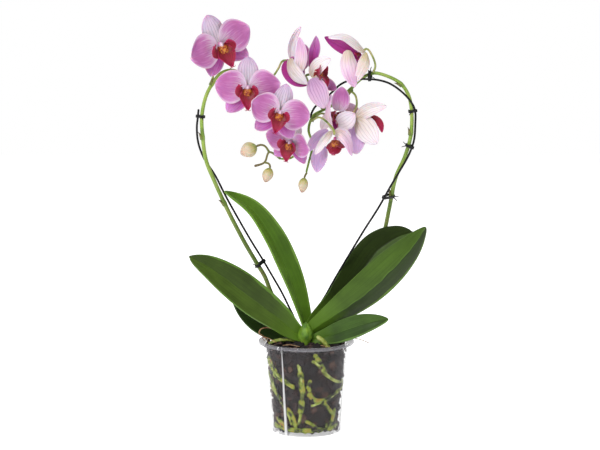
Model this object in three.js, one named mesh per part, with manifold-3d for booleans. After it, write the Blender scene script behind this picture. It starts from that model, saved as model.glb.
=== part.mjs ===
// Potted moth orchid with two flower spikes trained into a heart on wire hoops.
// Millimetres, +Z up. The origin is the centre of the pot's foot, the front is -Y and
// +X is to the right.
import * as THREE from 'three';
import { LoftGeometry } from 'three/addons/geometries/LoftGeometry.js';
import { mergeVertices } from 'three/addons/utils/BufferGeometryUtils.js';
import Module from 'manifold-3d';

const wasm = await Module();
wasm.setup();

// ---------------------------------------------------------------- driving dimensions

const GAP = 0.4;

const POT = {
  height: 118,
  rimRadius: 61,
  rimDepth: 4,
  rimRound: 1,
  neckRadius: 54,
  footRadius: 43.8,
  footSlope: 5,
  wall: 1.1,
  floorHeight: 4.5,
  sides: 32,
};
const NOTCH = { width: 10, height: 4, depth: 14, angles: [60, 180, 300] };
const DRAIN = { radius: 4, circle: 26, depth: 6, sides: 10, angles: [0, 60, 120, 180, 240, 300] };

const BARK = { top: 109, wallGap: 6.6, heap: 3, heapShare: 0.6, sides: 20 };

const CROWN = { at: [-1, -13, 0], bottom: 84, top: 143, radius: 8.2, sides: 10 };

const SPIKE = { footRadius: 2.8, tipRadius: 1.3, sides: 6, step: 18 };
const PEDICEL = { radius: 1.3, sides: 5, step: 7, backLength: 7, backGap: 3.2 };
const WIRE = { radius: 1.2, sides: 6, step: 13 };
const CLIP = { band: 1.4, depth: 3.6, clearance: 1.3, grip: 5, gripRadius: 0.9 };

// An open flower of size 1 is 84 mm across its petals. Tepal angles are measured from the
// back sepal, which points up, and petals lie a layer in front of the sepals.
const TEPAL = { start: 2, base: 3, tip: 0.6, roundness: 0.6, thickness: 0.8, curl: 12 };
const BACK_SEPAL = { length: 41, halfWidth: 12.5, fullest: 1.05, angle: 0 };
const SIDE_SEPAL = { length: 39, halfWidth: 12, fullest: 1.05, angle: 138 };
const PETAL = { length: 42, halfWidth: 21, fullest: 0.95, angle: 80 };
const PETAL_LAYER = 2.2;
const HUB = { sepals: 3.6, petals: 2.4, sepalBack: 2.4, petalBack: 0.4, cover: 0.6, front: 0.4, sides: 6 };

// The lip and column of a flower whose lip size is 1, from the flower's centre.
const COLUMN = { size: [3, 5.4, 3.2], at: [0, -5.4, 1] };
const SIDE_LOBE = { size: [2.2, 4.6, 6.4], at: [6.5, -9, -2.5], splay: 24 };
const MID_LOBE = {
  path: [[0, -2.5, -1.5], [0, -7.5, -6], [0, -12.5, -12], [0, -12.5, -19], [0, -10.5, -25]],
  halfWidths: [3.5, 7, 8, 6, 1.5],
  halfThickness: 1.2,
};

const LEAF = { thickness: 2, stations: 9, clasp: 0.28, tip: 0.04, roundness: 0.75, edgeThinning: 0.5 };

const COLOURS = {
  pot: 0xb9b6be,
  bark: 0x3a241d,
  crown: 0x86ab44,
  leaf: 0x3f6a22,
  spike: 0x7e9a3e,
  root: 0x9db24a,
  dryRoot: 0x8d6a4c,
  black: 0x1b1b1d,
  petal: 0xcf86c8,
  sepal: 0xe6cde4,
  lip: 0xb0104f,
  bud: 0xd9cfa6,
};

// ---------------------------------------------------------------- helpers

const deg = THREE.MathUtils.degToRad;
const vec = (p) => new THREE.Vector3(...p);

function material(colour, roughness = 0.5) {
  return new THREE.MeshStandardMaterial({ color: colour, roughness, metalness: 0 });
}

function middleOf(ring) {
  return ring.reduce((sum, p) => sum.add(p), new THREE.Vector3()).divideScalar(ring.length);
}

// Whether a ring turns anticlockwise as seen from the ring after it.
function turnsOutward(ring, next) {
  const centre = middleOf(ring);
  const normal = new THREE.Vector3();
  ring.forEach((p, i) => {
    const q = ring[(i + 1) % ring.length];
    normal.add(p.clone().sub(centre).cross(q.clone().sub(centre)));
  });
  return normal.dot(middleOf(next).sub(centre)) > 0;
}

// A closed solid skinned over rings of points, whichever way the rings run.
function loft(rings) {
  const middle = Math.floor(rings.length / 2);
  const outward = turnsOutward(rings[middle - 1], rings[middle]);
  const sections = outward ? rings : rings.map((ring) => [...ring].reverse());
  const skin = new LoftGeometry(sections, { capStart: true, capEnd: true });
  return new THREE.BufferGeometry().copy(skin);
}

function smoothCurve(points) {
  return new THREE.CatmullRomCurve3(points.map(vec), false, 'centripetal');
}

// A round rod along a curve, with radius(t) and rings every `step` millimetres.
function rod(curve, radius, sides, step) {
  const count = Math.max(2, Math.round(curve.getLength() / step));
  const frames = curve.computeFrenetFrames(count, false);
  const rings = [];
  for (let i = 0; i <= count; i += 1) {
    const centre = curve.getPointAt(i / count);
    const ring = [];
    for (let j = 0; j < sides; j += 1) {
      const turn = (j / sides) * Math.PI * 2;
      const out = frames.normals[i].clone().multiplyScalar(Math.cos(turn));
      out.addScaledVector(frames.binormals[i], Math.sin(turn));
      ring.push(centre.clone().addScaledVector(out, radius(i / count)));
    }
    rings.push(ring);
  }
  return loft(rings);
}

function toSolid(geometry) {
  const bare = new THREE.BufferGeometry().copy(geometry);
  bare.deleteAttribute('normal');
  bare.deleteAttribute('uv');
  const merged = mergeVertices(bare, 1e-3);
  const mesh = new wasm.Mesh({
    numProp: 3,
    vertProperties: new Float32Array(merged.getAttribute('position').array),
    triVerts: new Uint32Array(merged.index.array),
  });
  return new wasm.Manifold(mesh);
}

function fromSolid(solid) {
  const mesh = solid.getMesh();
  const geometry = new THREE.BufferGeometry();
  geometry.setAttribute('position', new THREE.BufferAttribute(mesh.vertProperties, 3));
  geometry.setIndex(new THREE.BufferAttribute(mesh.triVerts, 1));
  geometry.computeVertexNormals();
  return geometry;
}

function join(geometries) {
  const solids = geometries.map(toSolid);
  return fromSolid(solids.slice(1).reduce((whole, part) => whole.add(part), solids[0]));
}

function cut(geometry, cutters) {
  return fromSolid(cutters.reduce((whole, tool) => whole.subtract(toSolid(tool)), toSolid(geometry)));
}

function place(group, name, geometry, surface) {
  const mesh = new THREE.Mesh(geometry, surface);
  mesh.name = name;
  group.add(mesh);
  return mesh;
}

// ---------------------------------------------------------------- pot and bark

// The outer radius of the pot's wall at a height.
function potRadius(z) {
  return THREE.MathUtils.lerp(POT.footRadius, POT.neckRadius, z / POT.height);
}

function turned(profile, sides) {
  const points = profile.map(([r, z]) => new THREE.Vector2(r, z));
  return new THREE.LatheGeometry(points, sides).rotateX(Math.PI / 2);
}

// A thin tapered wall with a rolled rim, a raised floor, three notches in its foot ring
// and a ring of drain holes.
function potBody() {
  const { height, rimRadius, rimDepth, rimRound, wall, floorHeight } = POT;
  const under = height - rimDepth;
  const inside = (z) => potRadius(z) - wall;
  const shell = turned([
    [0, floorHeight],
    [0, floorHeight - wall],
    [inside(0) - POT.footSlope, floorHeight - wall],
    [inside(0), 0],
    [potRadius(0), 0],
    [potRadius(under), under],
    [rimRadius - rimRound, under],
    [rimRadius, under + rimRound],
    [rimRadius, height - rimRound],
    [rimRadius - rimRound, height],
    [inside(height), height],
    [inside(floorHeight), floorHeight],
    [0, floorHeight],
  ], POT.sides);
  const notches = NOTCH.angles.map((angle) => {
    const box = new THREE.BoxGeometry(NOTCH.width, NOTCH.depth, NOTCH.height * 2);
    return box.translate(0, -POT.footRadius, 0).rotateZ(deg(angle));
  });
  const drains = DRAIN.angles.map((angle) => {
    const hole = new THREE.CylinderGeometry(DRAIN.radius, DRAIN.radius, DRAIN.depth, DRAIN.sides);
    return hole.rotateX(Math.PI / 2).translate(0, -DRAIN.circle, floorHeight).rotateZ(deg(angle));
  });
  return cut(shell, [...notches, ...drains]);
}

// The bed of bark, with room at the wall for the roots and sockets for what stands in it.
function barkBed(standing) {
  const bottom = POT.floorHeight + GAP;
  const radius = (z) => potRadius(z) - POT.wall - BARK.wallGap;
  const bed = turned([
    [0, bottom],
    [radius(bottom), bottom],
    [radius(BARK.top), BARK.top],
    [radius(BARK.top) * BARK.heapShare, BARK.top + BARK.heap],
    [0, BARK.top + BARK.heap],
  ], BARK.sides);
  return cut(bed, standing);
}

// ---------------------------------------------------------------- crown, leaves and roots

// The outline of the crown, as shares of its height and of its radius.
const CROWN_OUTLINE = [[0, 0.45], [0.3, 0.5], [0.6, 0.7], [0.8, 1], [0.93, 0.85], [1, 0.4]];

// The short stem that the leaves, spikes and roots grow from, or its socket when it grows.
function crownBody(grow = 0) {
  const { at, bottom, top, radius, sides } = CROWN;
  const span = top - bottom;
  const side = CROWN_OUTLINE.map(([u, share]) => {
    return [share * radius + grow, bottom - grow + u * (span + 2 * grow)];
  });
  return turned([[0, bottom - grow], ...side, [0, top + grow]], sides).translate(...at);
}

// Leaves: the path of the midrib from the base, the largest half-width and the share of the
// length where it comes. tilt is how many degrees the upper edge leans away from the front,
// at the base and at the tip. fold is how far the edges stand in front of the midrib, as a
// share of the half-width, and is negative where they stand behind it.
const LEAVES = {
  leaf_left_tall: {
    midrib: [
      [-5, 11, 141], [-17, 10, 184], [-32, 4, 221],
      [-48, -2, 254], [-71, -6, 287], [-103, -10, 310],
    ],
    halfWidth: 21,
    fullest: 0.5,
    tilt: [60, 56],
    fold: 0.35,
  },
  leaf_left_broad: {
    midrib: [
      [-15, -10, 129], [-36, -20, 150], [-66, -30, 174],
      [-98, -36, 200], [-124, -38, 219], [-147, -36, 231],
    ],
    halfWidth: 23,
    fullest: 0.58,
    tilt: [30, 38],
    fold: 0.2,
  },
  leaf_left_low: {
    midrib: [
      [-13, 8, 121], [-33, 14, 127], [-56, 20, 137],
      [-76, 24, 150], [-94, 26, 164],
    ],
    halfWidth: 19,
    fullest: 0.55,
    tilt: [35, 40],
    fold: 0.15,
  },
  leaf_right_back: {
    midrib: [
      [10, 8, 140], [42, 18, 168], [69, 25, 199],
      [94, 28, 230], [118, 28, 246], [136, 26, 253],
    ],
    halfWidth: 23,
    fullest: 0.68,
    tilt: [20, 25],
    fold: 0.45,
  },
  leaf_right_front: {
    midrib: [
      [9, -8, 133], [42, -22, 158], [80, -32, 188],
      [111, -36, 218], [133, -35, 243], [150, -30, 267],
    ],
    halfWidth: 23,
    fullest: 0.6,
    tilt: [-15, -15],
    fold: -0.4,
  },
  leaf_right_low: {
    midrib: [
      [25, -10, 123], [47, -22, 133], [72, -29, 143],
      [90, -32, 148], [103, -32, 150],
    ],
    halfWidth: 14,
    fullest: 0.55,
    tilt: [25, 25],
    fold: 0.2,
  },
};

// Half-width along a leaf: a clasping base, full beyond the middle, a blunt tip.
function leafOutline(t, fullest) {
  const swell = Math.log(0.5) / Math.log(fullest);
  return LEAF.clasp * (1 - t) ** 3 + Math.sin(Math.PI * t ** swell) ** LEAF.roundness + LEAF.tip;
}

// The directions across a leaf, towards its upper edge, and out of its front face.
function leafAxes(along, lean) {
  const side = new THREE.Vector3(-along.z, 0, along.x).normalize();
  if (side.z < 0) side.negate();
  side.multiplyScalar(Math.cos(lean)).add(new THREE.Vector3(0, Math.sin(lean), 0));
  side.addScaledVector(along, -side.dot(along)).normalize();
  const front = side.clone().cross(along).normalize();
  if (front.y > 0) front.negate();
  return { side, front };
}

function leafBlade({ midrib, halfWidth, fullest, tilt, fold }) {
  const curve = smoothCurve(midrib);
  const across = [-1, -0.5, 0, 0.5, 1];
  const rings = [];
  for (let i = 0; i <= LEAF.stations; i += 1) {
    const t = i / LEAF.stations;
    const centre = curve.getPointAt(t);
    const { side, front } = leafAxes(curve.getTangentAt(t), deg(THREE.MathUtils.lerp(...tilt, t)));
    const width = halfWidth * leafOutline(t, fullest);
    const point = (v, face) => {
      const rise = fold * width * Math.abs(v) ** 1.4;
      const half = face * (LEAF.thickness / 2) * (1 - LEAF.edgeThinning * Math.abs(v));
      return centre.clone().addScaledVector(side, v * width).addScaledVector(front, rise + half);
    };
    const upper = across.map((v) => point(v, 1));
    const lower = across.map((v) => point(v, -1)).reverse();
    rings.push([...upper, ...lower]);
  }
  return loft(rings);
}

// Roots just inside the pot's wall: degrees from the front, to the right, and height.
const POT_ROOT = { radius: 2.3, wallGap: 0.9, thinning: 0.3, sides: 6, step: 11 };
const POT_ROOTS = {
  root_1: [[-92, 97], [-78, 90], [-59, 81], [-36, 71], [-19, 62]],
  root_2: [[-12, 96], [-9, 82], [-6, 66], [-7, 50], [-10, 28], [-14, 15]],
  root_3: [[8, 99], [16, 96], [30, 82], [50, 71], [76, 64]],
  root_4: [[-112, 88], [-92, 77], [-70, 65], [-44, 41], [-32, 27], [-26, 14]],
  root_5: [[128, 82], [98, 63], [56, 53], [30, 46], [7, 40]],
};

function potRoot(stations) {
  const unrolled = smoothCurve(stations.map(([angle, z]) => [angle, z, 0]));
  const points = unrolled.getPoints(12).map(({ x: angle, y: z }) => {
    const radius = potRadius(z) - POT.wall - POT_ROOT.wallGap - POT_ROOT.radius;
    return [radius * Math.sin(deg(angle)), -radius * Math.cos(deg(angle)), z];
  });
  const thickness = (t) => POT_ROOT.radius * (1 - POT_ROOT.thinning * t ** 4);
  return rod(smoothCurve(points), thickness, POT_ROOT.sides, POT_ROOT.step);
}

const AIR_ROOTS = {
  air_root_right: {
    path: [[13, -22, 126], [20, -26, 122], [27, -29, 115], [30, -30, 114], [31, -30, 112]],
    radius: 3,
  },
  air_root_left: {
    path: [
      [-14, -13, 119], [-25, -16, 121], [-37, -16, 120],
      [-43, -12, 117], [-46, -7, 114], [-46, -3, 112],
    ],
    radius: 2.2,
  },
  air_root_loop: {
    path: [
      [-44, 6, 110], [-48, 4, 115], [-54, -2, 122], [-60, -6, 127],
      [-58, -9, 133], [-49, -10, 135.5], [-42, -9, 133],
    ],
    radius: 0.9,
  },
};

// ---------------------------------------------------------------- spikes and wires

const LEFT_SPIKE = [
  [-24, 17, 142], [-34, 18, 150], [-38, 17, 161], [-46, 16, 178], [-53, 14, 197], [-64, 12, 216],
  [-77, 9, 239], [-90, 7, 264], [-103, 4, 291], [-117, 1, 323], [-127, 0, 349], [-131, 0, 378],
  [-132, 0, 404], [-127, 2, 429], [-119, 4, 445], [-107, 8, 459], [-92, 10, 462], [-75, 11, 452],
  [-56, 11, 436], [-34, 8, 420], [-15, 6, 402], [-9, 5, 384], [-10, 5, 366], [-18, 4, 352],
  [-32, 3, 350],
];

// The thin zigzag end of the left spike, where the youngest buds stand.
const LEFT_TIP = [[-32, 3, 350], [-47, 2, 359], [-53, 2, 346], [-66, 2, 341]];

const RIGHT_SPIKE = [
  [15, 20, 148], [42, 38, 172], [72, 44, 205], [92, 42, 232], [100, 36, 251], [106, 22, 283],
  [114, 7, 327], [125, 4, 353], [132, 0, 380], [133, 0, 410], [129, 0, 431], [119, 1, 446],
  [103, 3, 455], [86, 6, 459], [75, 10, 455], [65, 16, 447], [55, 20, 436], [44, 26, 427],
  [33, 28, 416], [21, 24, 410], [10, 16, 405], [5, 12, 397], [3, 10, 385], [7, 9, 372],
  [7, 8, 361], [3, 6, 345], [0, 4, 333],
];

const LEFT_WIRE = [
  [-6, 29, 60], [-9, 29, 100], [-14, 28, 136], [-23, 26, 157], [-32, 23, 176], [-43, 20, 196],
  [-56, 17, 219], [-72, 14, 246], [-87, 11, 273], [-102, 8, 301], [-116, 7, 329], [-130, 6.5, 351],
  [-137, 5, 371], [-138.5, 3, 390], [-137, 0, 404], [-136, 0, 414],
];

const RIGHT_WIRE = [
  [6, 29, 60], [5, 30, 100], [8, 31, 134], [16.5, 29.5, 155], [26, 27, 172], [35.5, 24.5, 190],
  [55, 17, 225], [74.5, 10, 259], [92, 4, 288], [107, -1, 316], [118, -2, 335], [130, -3, 357],
  [136, -4, 375], [137.5, -3, 394], [137, -1, 413], [130, -5, 426], [118, -5, 438], [104, -4, 447],
  [90, -3, 451], [75, -2, 452], [58, 3, 451], [43, 11, 444], [36, 12.5, 437.5], [29, 8.5, 431],
  [23, 8, 425], [12, 8, 417], [7, 6, 409], [5, 5, 402],
];

// The stalk of each flower and bud, from the spike. It goes on to the back of its flower or bud.
const LEFT_STALKS = {
  flower_1: [[-120, 5, 446], [-116, 2, 461], [-112, -6, 478]],
  flower_2: [[-92, 10, 462], [-84, 2, 460], [-77, -8, 451]],
  flower_3: [[-56, 11, 436], [-48, 2, 432], [-39, -12, 424]],
  flower_4: [[-15, 6, 402], [-14, -5, 396], [-14, -13, 386]],
  flower_5: [[-56, 11, 436], [-46, 17, 448], [-36, 14, 463]],
};

const RIGHT_STALKS = {
  flower_6: [[21, 24, 410], [14, 27, 424], [5, 21, 440], [1, 12, 451]],
  flower_7: [[84, 6, 459], [87, 3, 468], [83, 0, 481]],
  flower_8: [[6, 13, 399], [13, 12, 404], [19, 14, 407]],
  flower_9: [[55, 20, 436], [62, 19, 430], [64, 16, 417]],
  flower_10: [[5, 12, 397], [11, 7, 401], [17, -7, 404], [24, -18, 401]],
};

const LEFT_BUD_STALKS = {
  bud_1: [[-47, 2, 359], [-52, 1, 366.5], [-57, 0, 368.5]],
  bud_2: [[-53, 2, 346], [-47, 1, 344]],
};

const RIGHT_BUD_STALKS = { bud_3: [[1, 4, 333], [-1, 2, 330]] };

// ---------------------------------------------------------------- flowers and buds

// A flower head: the centre, then the turn to the right (yaw), the nod downward and the lean
// of the back sepal to the right, the size, how far the sepals and the petals close forward,
// and the size of the lip. Turns and closings are in degrees.
function head(at, [yaw, nod, lean], size, [sepals, petals], lip) {
  return { at, yaw, nod, lean, size, sepals, petals, lip };
}

const FLOWERS = {
  flower_1: head([-108.5, -25, 496.5], [22, 8, -27], 1.05, [4, 10], 1.12),
  flower_2: head([-73, -28, 442], [0, 4, 0], 1, [2, 6], 1),
  flower_3: head([-34, -42, 413], [4, 6, 15], 0.92, [2, 6], 0.95),
  flower_4: head([-18, -16, 374], [-24, 14, 12], 0.82, [4, 10], 0.9),
  flower_5: head([-23, 8, 475], [95, -8, 0], 0.98, [24, 26], 0.7),
  flower_6: head([6, 2, 458], [70, -15, 0], 1.06, [16, 22], 0.95),
  flower_7: head([70, 0, 487], [-90, 25, 0], 0.95, [44, 46], 0.34),
  flower_8: head([29, 12, 406], [55, 0, 0], 0.8, [15, 30], 0.8),
  flower_9: head([63, 15, 400], [130, 35, -35], 0.98, [22, 26], 0.9),
  flower_10: head([35, -34, 384], [172, 62, 0], 0.88, [36, 38], 0.85),
};

const BUDS = {
  bud_1: { at: [-73, 0, 362], hang: [-0.9, 0, -0.45], length: 23, radius: 10.8 },
  bud_2: { at: [-49, 0, 330], hang: [-0.35, 0, -0.94], length: 20, radius: 7.8 },
  bud_3: { at: [-4, 0, 317], hang: [-0.15, 0, -0.99], length: 20, radius: 7 },
};

function tepalHalfWidth(shape, u) {
  const swell = Math.sin(Math.PI * u ** shape.fullest) ** TEPAL.roundness;
  return TEPAL.base * (1 - u) ** 2 + shape.halfWidth * swell + TEPAL.tip;
}

// A point of the cupped flower: (a, b) lies in the flat flower, layer is the depth in front
// of the sepals, and cup is the angle that the bowl rises at half the flower's radius.
function cupped(a, b, layer, cup) {
  const distance = Math.hypot(a, b);
  const start = deg(cup - TEPAL.curl / 2);
  const bend = deg(TEPAL.curl) / BACK_SEPAL.length;
  const slope = start + bend * distance;
  const radius = (Math.sin(slope) - Math.sin(start)) / bend - layer * Math.sin(slope);
  const forward = (Math.cos(start) - Math.cos(slope)) / bend + layer * Math.cos(slope);
  return new THREE.Vector3((radius * a) / distance, -forward, (radius * b) / distance);
}

// One sepal or petal, `hand` 1 on the right of the flower's middle line and -1 on the left.
function tepal(shape, hand, layer, cup, size, across) {
  const turn = deg(shape.angle * hand);
  const rings = [];
  for (const u of [0, 0.18, 0.42, 0.68, 0.9, 1]) {
    const length = TEPAL.start + u * (shape.length - TEPAL.start);
    const half = tepalHalfWidth(shape, u);
    const point = (v, face) => {
      const side = v * half;
      const a = (length * Math.sin(turn) + side * Math.cos(turn)) * size;
      const b = (length * Math.cos(turn) - side * Math.sin(turn)) * size;
      return cupped(a, b, layer + (face * TEPAL.thickness) / 2, cup);
    };
    const front = across.map((v) => point(v, 1));
    const back = across.map((v) => point(v, -1)).reverse();
    rings.push([...front, ...back]);
  }
  return loft(rings);
}

// How far forward a whorl stands at a distance from the flower's centre.
function forwardAt(distance, layer, cup) {
  return -cupped(distance, 0, layer, cup).y;
}

// The disc that joins a whorl's tepals, reaching from `back` behind them to just past them.
function hub(radius, layer, cup, back) {
  const middle = forwardAt(TEPAL.start + HUB.cover, layer, cup);
  const disc = new THREE.CylinderGeometry(radius, radius, HUB.front + back, HUB.sides);
  return disc.translate(0, -middle - (HUB.front - back) / 2, 0);
}

function sepalWhorl({ size, sepals }) {
  const across = [-1, 0, 1];
  return join([
    tepal(BACK_SEPAL, 1, 0, sepals, size, across),
    tepal(SIDE_SEPAL, 1, 0, sepals, size, across),
    tepal(SIDE_SEPAL, -1, 0, sepals, size, across),
    hub(HUB.sepals * size, 0, sepals, HUB.sepalBack),
  ]);
}

function petalPair({ size, petals }) {
  const across = [-1, -0.35, 0.35, 1];
  return join([
    tepal(PETAL, 1, PETAL_LAYER, petals, size, across),
    tepal(PETAL, -1, PETAL_LAYER, petals, size, across),
    hub(HUB.petals * size, PETAL_LAYER, petals, HUB.petalBack),
  ]);
}

// The broad middle lobe of the lip, which hangs down and curls back at its end.
function midLobe() {
  const path = smoothCurve(MID_LOBE.path);
  const rings = MID_LOBE.halfWidths.map((half, i) => {
    const t = i / (MID_LOBE.halfWidths.length - 1);
    const along = path.getTangentAt(t);
    const out = new THREE.Vector3(0, -along.z, along.y).normalize();
    return [[-1, -1], [1, -1], [1, 1], [-1, 1]].map(([side, face]) => {
      const corner = path.getPointAt(t).add(new THREE.Vector3(side * half, 0, 0));
      return corner.addScaledVector(out, face * MID_LOBE.halfThickness);
    });
  });
  return loft(rings);
}

// The column over a three-lobed lip, reaching forward from the flower's centre.
function lipAndColumn({ petals, lip }) {
  const [lobeX, lobeY, lobeZ] = SIDE_LOBE.at;
  const start = forwardAt(lobeX * lip + TEPAL.start, PETAL_LAYER, petals) + 2 * GAP;
  const ball = (size) => new THREE.SphereGeometry(1, 6, 4).scale(...size);
  const column = ball(COLUMN.size).translate(...COLUMN.at);
  const sideLobes = [-1, 1].map((side) => {
    return ball(SIDE_LOBE.size).rotateY(deg(side * SIDE_LOBE.splay)).translate(side * lobeX, lobeY, lobeZ);
  });
  return join([column, ...sideLobes, midLobe()]).scale(lip, lip, lip).translate(0, -start, 0);
}

function flowerTurn({ yaw, nod, lean }) {
  return new THREE.Euler(deg(nod), deg(lean), deg(yaw), 'ZXY');
}

function flowerHead(name, flower) {
  const group = new THREE.Group();
  group.position.set(...flower.at);
  group.rotation.copy(flowerTurn(flower));
  place(group, `${name}_sepals`, sepalWhorl(flower), material(COLOURS.sepal, 0.55));
  place(group, `${name}_petals`, petalPair(flower), material(COLOURS.petal, 0.55));
  place(group, `${name}_lip`, lipAndColumn(flower), material(COLOURS.lip, 0.45));
  return group;
}

// Where a flower's stalk ends: a point behind its centre, `back` millimetres away.
function behindFlower(flower, back) {
  return new THREE.Vector3(0, back, 0).applyEuler(flowerTurn(flower)).add(vec(flower.at)).toArray();
}

// The outline of a bud from its stalk end, as shares of its length and of its radius.
const BUD_OUTLINE = [
  [0, 0.2], [0.12, 0.62], [0.35, 0.97], [0.6, 1], [0.82, 0.75], [0.95, 0.35], [1, 0.08],
];

function budBody({ length, radius }) {
  const profile = BUD_OUTLINE.map(([u, r]) => [r * radius, -u * length]);
  return turned([[0, 0], ...profile, [0, -length]].reverse(), 9);
}

function budHead(name, { at, hang, length, radius }) {
  const bud = new THREE.Mesh(budBody({ length, radius }), material(COLOURS.bud, 0.5));
  const down = vec(hang).normalize();
  bud.name = name;
  bud.quaternion.setFromUnitVectors(new THREE.Vector3(0, 0, -1), down);
  bud.position.copy(vec(at).addScaledVector(down, -length / 2));
  return bud;
}

function budTop({ at, hang, length }) {
  return vec(at).addScaledVector(vec(hang).normalize(), -length / 2 - 3 * GAP).toArray();
}

// ---------------------------------------------------------------- stems, wires and clips

// A spike with its flower stalks, bud stalks and any thin tip, grown as one piece.
function spikeBody(path, stalks, budStalks, tips = []) {
  const radius = (t) => THREE.MathUtils.lerp(SPIKE.footRadius, SPIKE.tipRadius, t);
  const stem = rod(smoothCurve(path), radius, SPIKE.sides, SPIKE.step);
  const stalk = (points) => rod(smoothCurve(points), () => PEDICEL.radius, PEDICEL.sides, PEDICEL.step);
  const flowerStalks = Object.entries(stalks).map(([name, points]) => {
    const backs = [PEDICEL.backLength, PEDICEL.backGap];
    return stalk([...points, ...backs.map((back) => behindFlower(FLOWERS[name], back))]);
  });
  const buds = Object.entries(budStalks).map(([name, points]) => {
    return stalk([...points, budTop(BUDS[name])]);
  });
  return join([stem, ...tips.map(stalk), ...flowerStalks, ...buds]);
}

function wireBody(path) {
  return rod(smoothCurve(path), () => WIRE.radius, WIRE.sides, WIRE.step);
}

// The hole that a wire's foot has made in the bark.
function wireSocket([[x, y, z], ...rest]) {
  const path = smoothCurve([[x, y, z - GAP], ...rest.slice(0, 2)]);
  return rod(path, () => WIRE.radius + 2 * GAP, WIRE.sides, WIRE.step);
}

// Clips: the spike and the wire that each one holds together, and a point near it.
const CLIPS = {
  clip_left_low: { spike: LEFT_SPIKE, wire: LEFT_WIRE, near: [-57, 12, 215] },
  clip_left_high: { spike: LEFT_SPIKE, wire: LEFT_WIRE, near: [-137, 0, 405] },
  clip_right_low: { spike: RIGHT_SPIKE, wire: RIGHT_WIRE, near: [99, 2, 298] },
  clip_right_middle: { spike: RIGHT_SPIKE, wire: RIGHT_WIRE, near: [133, -3, 366] },
  clip_right_high: { spike: RIGHT_SPIKE, wire: RIGHT_WIRE, near: [137, 0, 412] },
  clip_top: { spike: RIGHT_SPIKE, wire: RIGHT_WIRE, near: [79, -2, 452] },
};

function nearestOn(curve, target) {
  const steps = 600;
  let best = null;
  for (let i = 0; i <= steps; i += 1) {
    const point = curve.getPointAt(i / steps);
    const distance = point.distanceTo(target);
    if (best === null || distance < best.distance) best = { t: i / steps, point, distance };
  }
  return best;
}

// The outline round a spike at the origin and its wire at (reach, 0).
function clipOutline(reach, grow) {
  const shape = new THREE.Shape();
  const quarter = Math.PI / 2;
  shape.absarc(0, 0, SPIKE.footRadius + CLIP.clearance + grow, quarter, 3 * quarter, false);
  shape.absarc(reach, 0, WIRE.radius + CLIP.clearance + grow, -quarter, quarter, false);
  shape.closePath();
  return shape;
}

// A grip of the clip, standing out beside the spike and bent back.
function clipGrip(side) {
  const edge = SPIKE.footRadius + CLIP.clearance + CLIP.band / 2;
  const path = [
    [0, side * edge, 0],
    [-1, side * (edge + CLIP.grip / 2), 1],
    [-3, side * (edge + CLIP.grip), 1],
  ];
  return rod(smoothCurve(path), () => CLIP.gripRadius, 5, 3);
}

// A moulded band round a spike and its wire, with two short grips.
function clipBody({ spike, wire, near }) {
  const spikeCurve = smoothCurve(spike);
  const wireCurve = smoothCurve(wire);
  const onWire = nearestOn(wireCurve, vec(near));
  const onSpike = nearestOn(spikeCurve, onWire.point);
  const along = spikeCurve.getTangentAt(onSpike.t).add(wireCurve.getTangentAt(onWire.t)).normalize();
  const toWire = onWire.point.clone().sub(onSpike.point);
  toWire.addScaledVector(along, -toWire.dot(along));
  const across = toWire.clone().normalize();
  const band = clipOutline(toWire.length(), CLIP.band);
  band.holes.push(clipOutline(toWire.length(), 0));
  const options = { depth: CLIP.depth, bevelEnabled: false, curveSegments: 3 };
  const ring = new THREE.ExtrudeGeometry(band, options).translate(0, 0, -CLIP.depth / 2);
  const up = along.clone().cross(across).normalize();
  const placed = new THREE.Matrix4().makeBasis(across, up, along).setPosition(onSpike.point);
  return join([ring, clipGrip(-1), clipGrip(1)]).applyMatrix4(placed);
}

// ---------------------------------------------------------------- the whole plant

const orchid = new THREE.Group();

place(orchid, 'pot', potBody(), material(COLOURS.pot, 0.2));
const sockets = [crownBody(GAP), wireSocket(LEFT_WIRE), wireSocket(RIGHT_WIRE)];
place(orchid, 'bark', barkBed(sockets), material(COLOURS.bark, 0.9));
place(orchid, 'crown', crownBody(), material(COLOURS.crown, 0.5));

for (const [name, leaf] of Object.entries(LEAVES)) {
  place(orchid, name, leafBlade(leaf), material(COLOURS.leaf, 0.4));
}

for (const [name, stations] of Object.entries(POT_ROOTS)) {
  place(orchid, name, potRoot(stations), material(COLOURS.root, 0.6));
}

for (const [name, { path, radius }] of Object.entries(AIR_ROOTS)) {
  const colour = name === 'air_root_loop' ? COLOURS.dryRoot : COLOURS.root;
  place(orchid, name, rod(smoothCurve(path), () => radius, 6, 9), material(colour, 0.6));
}

const spikes = {
  spike_left: spikeBody(LEFT_SPIKE, LEFT_STALKS, LEFT_BUD_STALKS, [LEFT_TIP]),
  spike_right: spikeBody(RIGHT_SPIKE, RIGHT_STALKS, RIGHT_BUD_STALKS),
};
for (const [name, geometry] of Object.entries(spikes)) {
  place(orchid, name, geometry, material(COLOURS.spike));
}
place(orchid, 'wire_left', wireBody(LEFT_WIRE), material(COLOURS.black));
place(orchid, 'wire_right', wireBody(RIGHT_WIRE), material(COLOURS.black));

for (const [name, clip] of Object.entries(CLIPS)) {
  place(orchid, name, clipBody(clip), material(COLOURS.black));
}

for (const [name, flower] of Object.entries(FLOWERS)) {
  orchid.add(flowerHead(name, flower));
}

for (const [name, bud] of Object.entries(BUDS)) {
  orchid.add(budHead(name, bud));
}

export default orchid;
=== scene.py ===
"""Potted moth orchid trained into a heart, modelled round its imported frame.

Sizes in the tables are millimetres in the frame's own axes: +Z up, -Y to the front, +X to
the right, from the centre of the pot's foot. The meshes are in metres.
"""

import math
import random

import bpy
from mathutils import Matrix, Vector, noise


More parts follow.
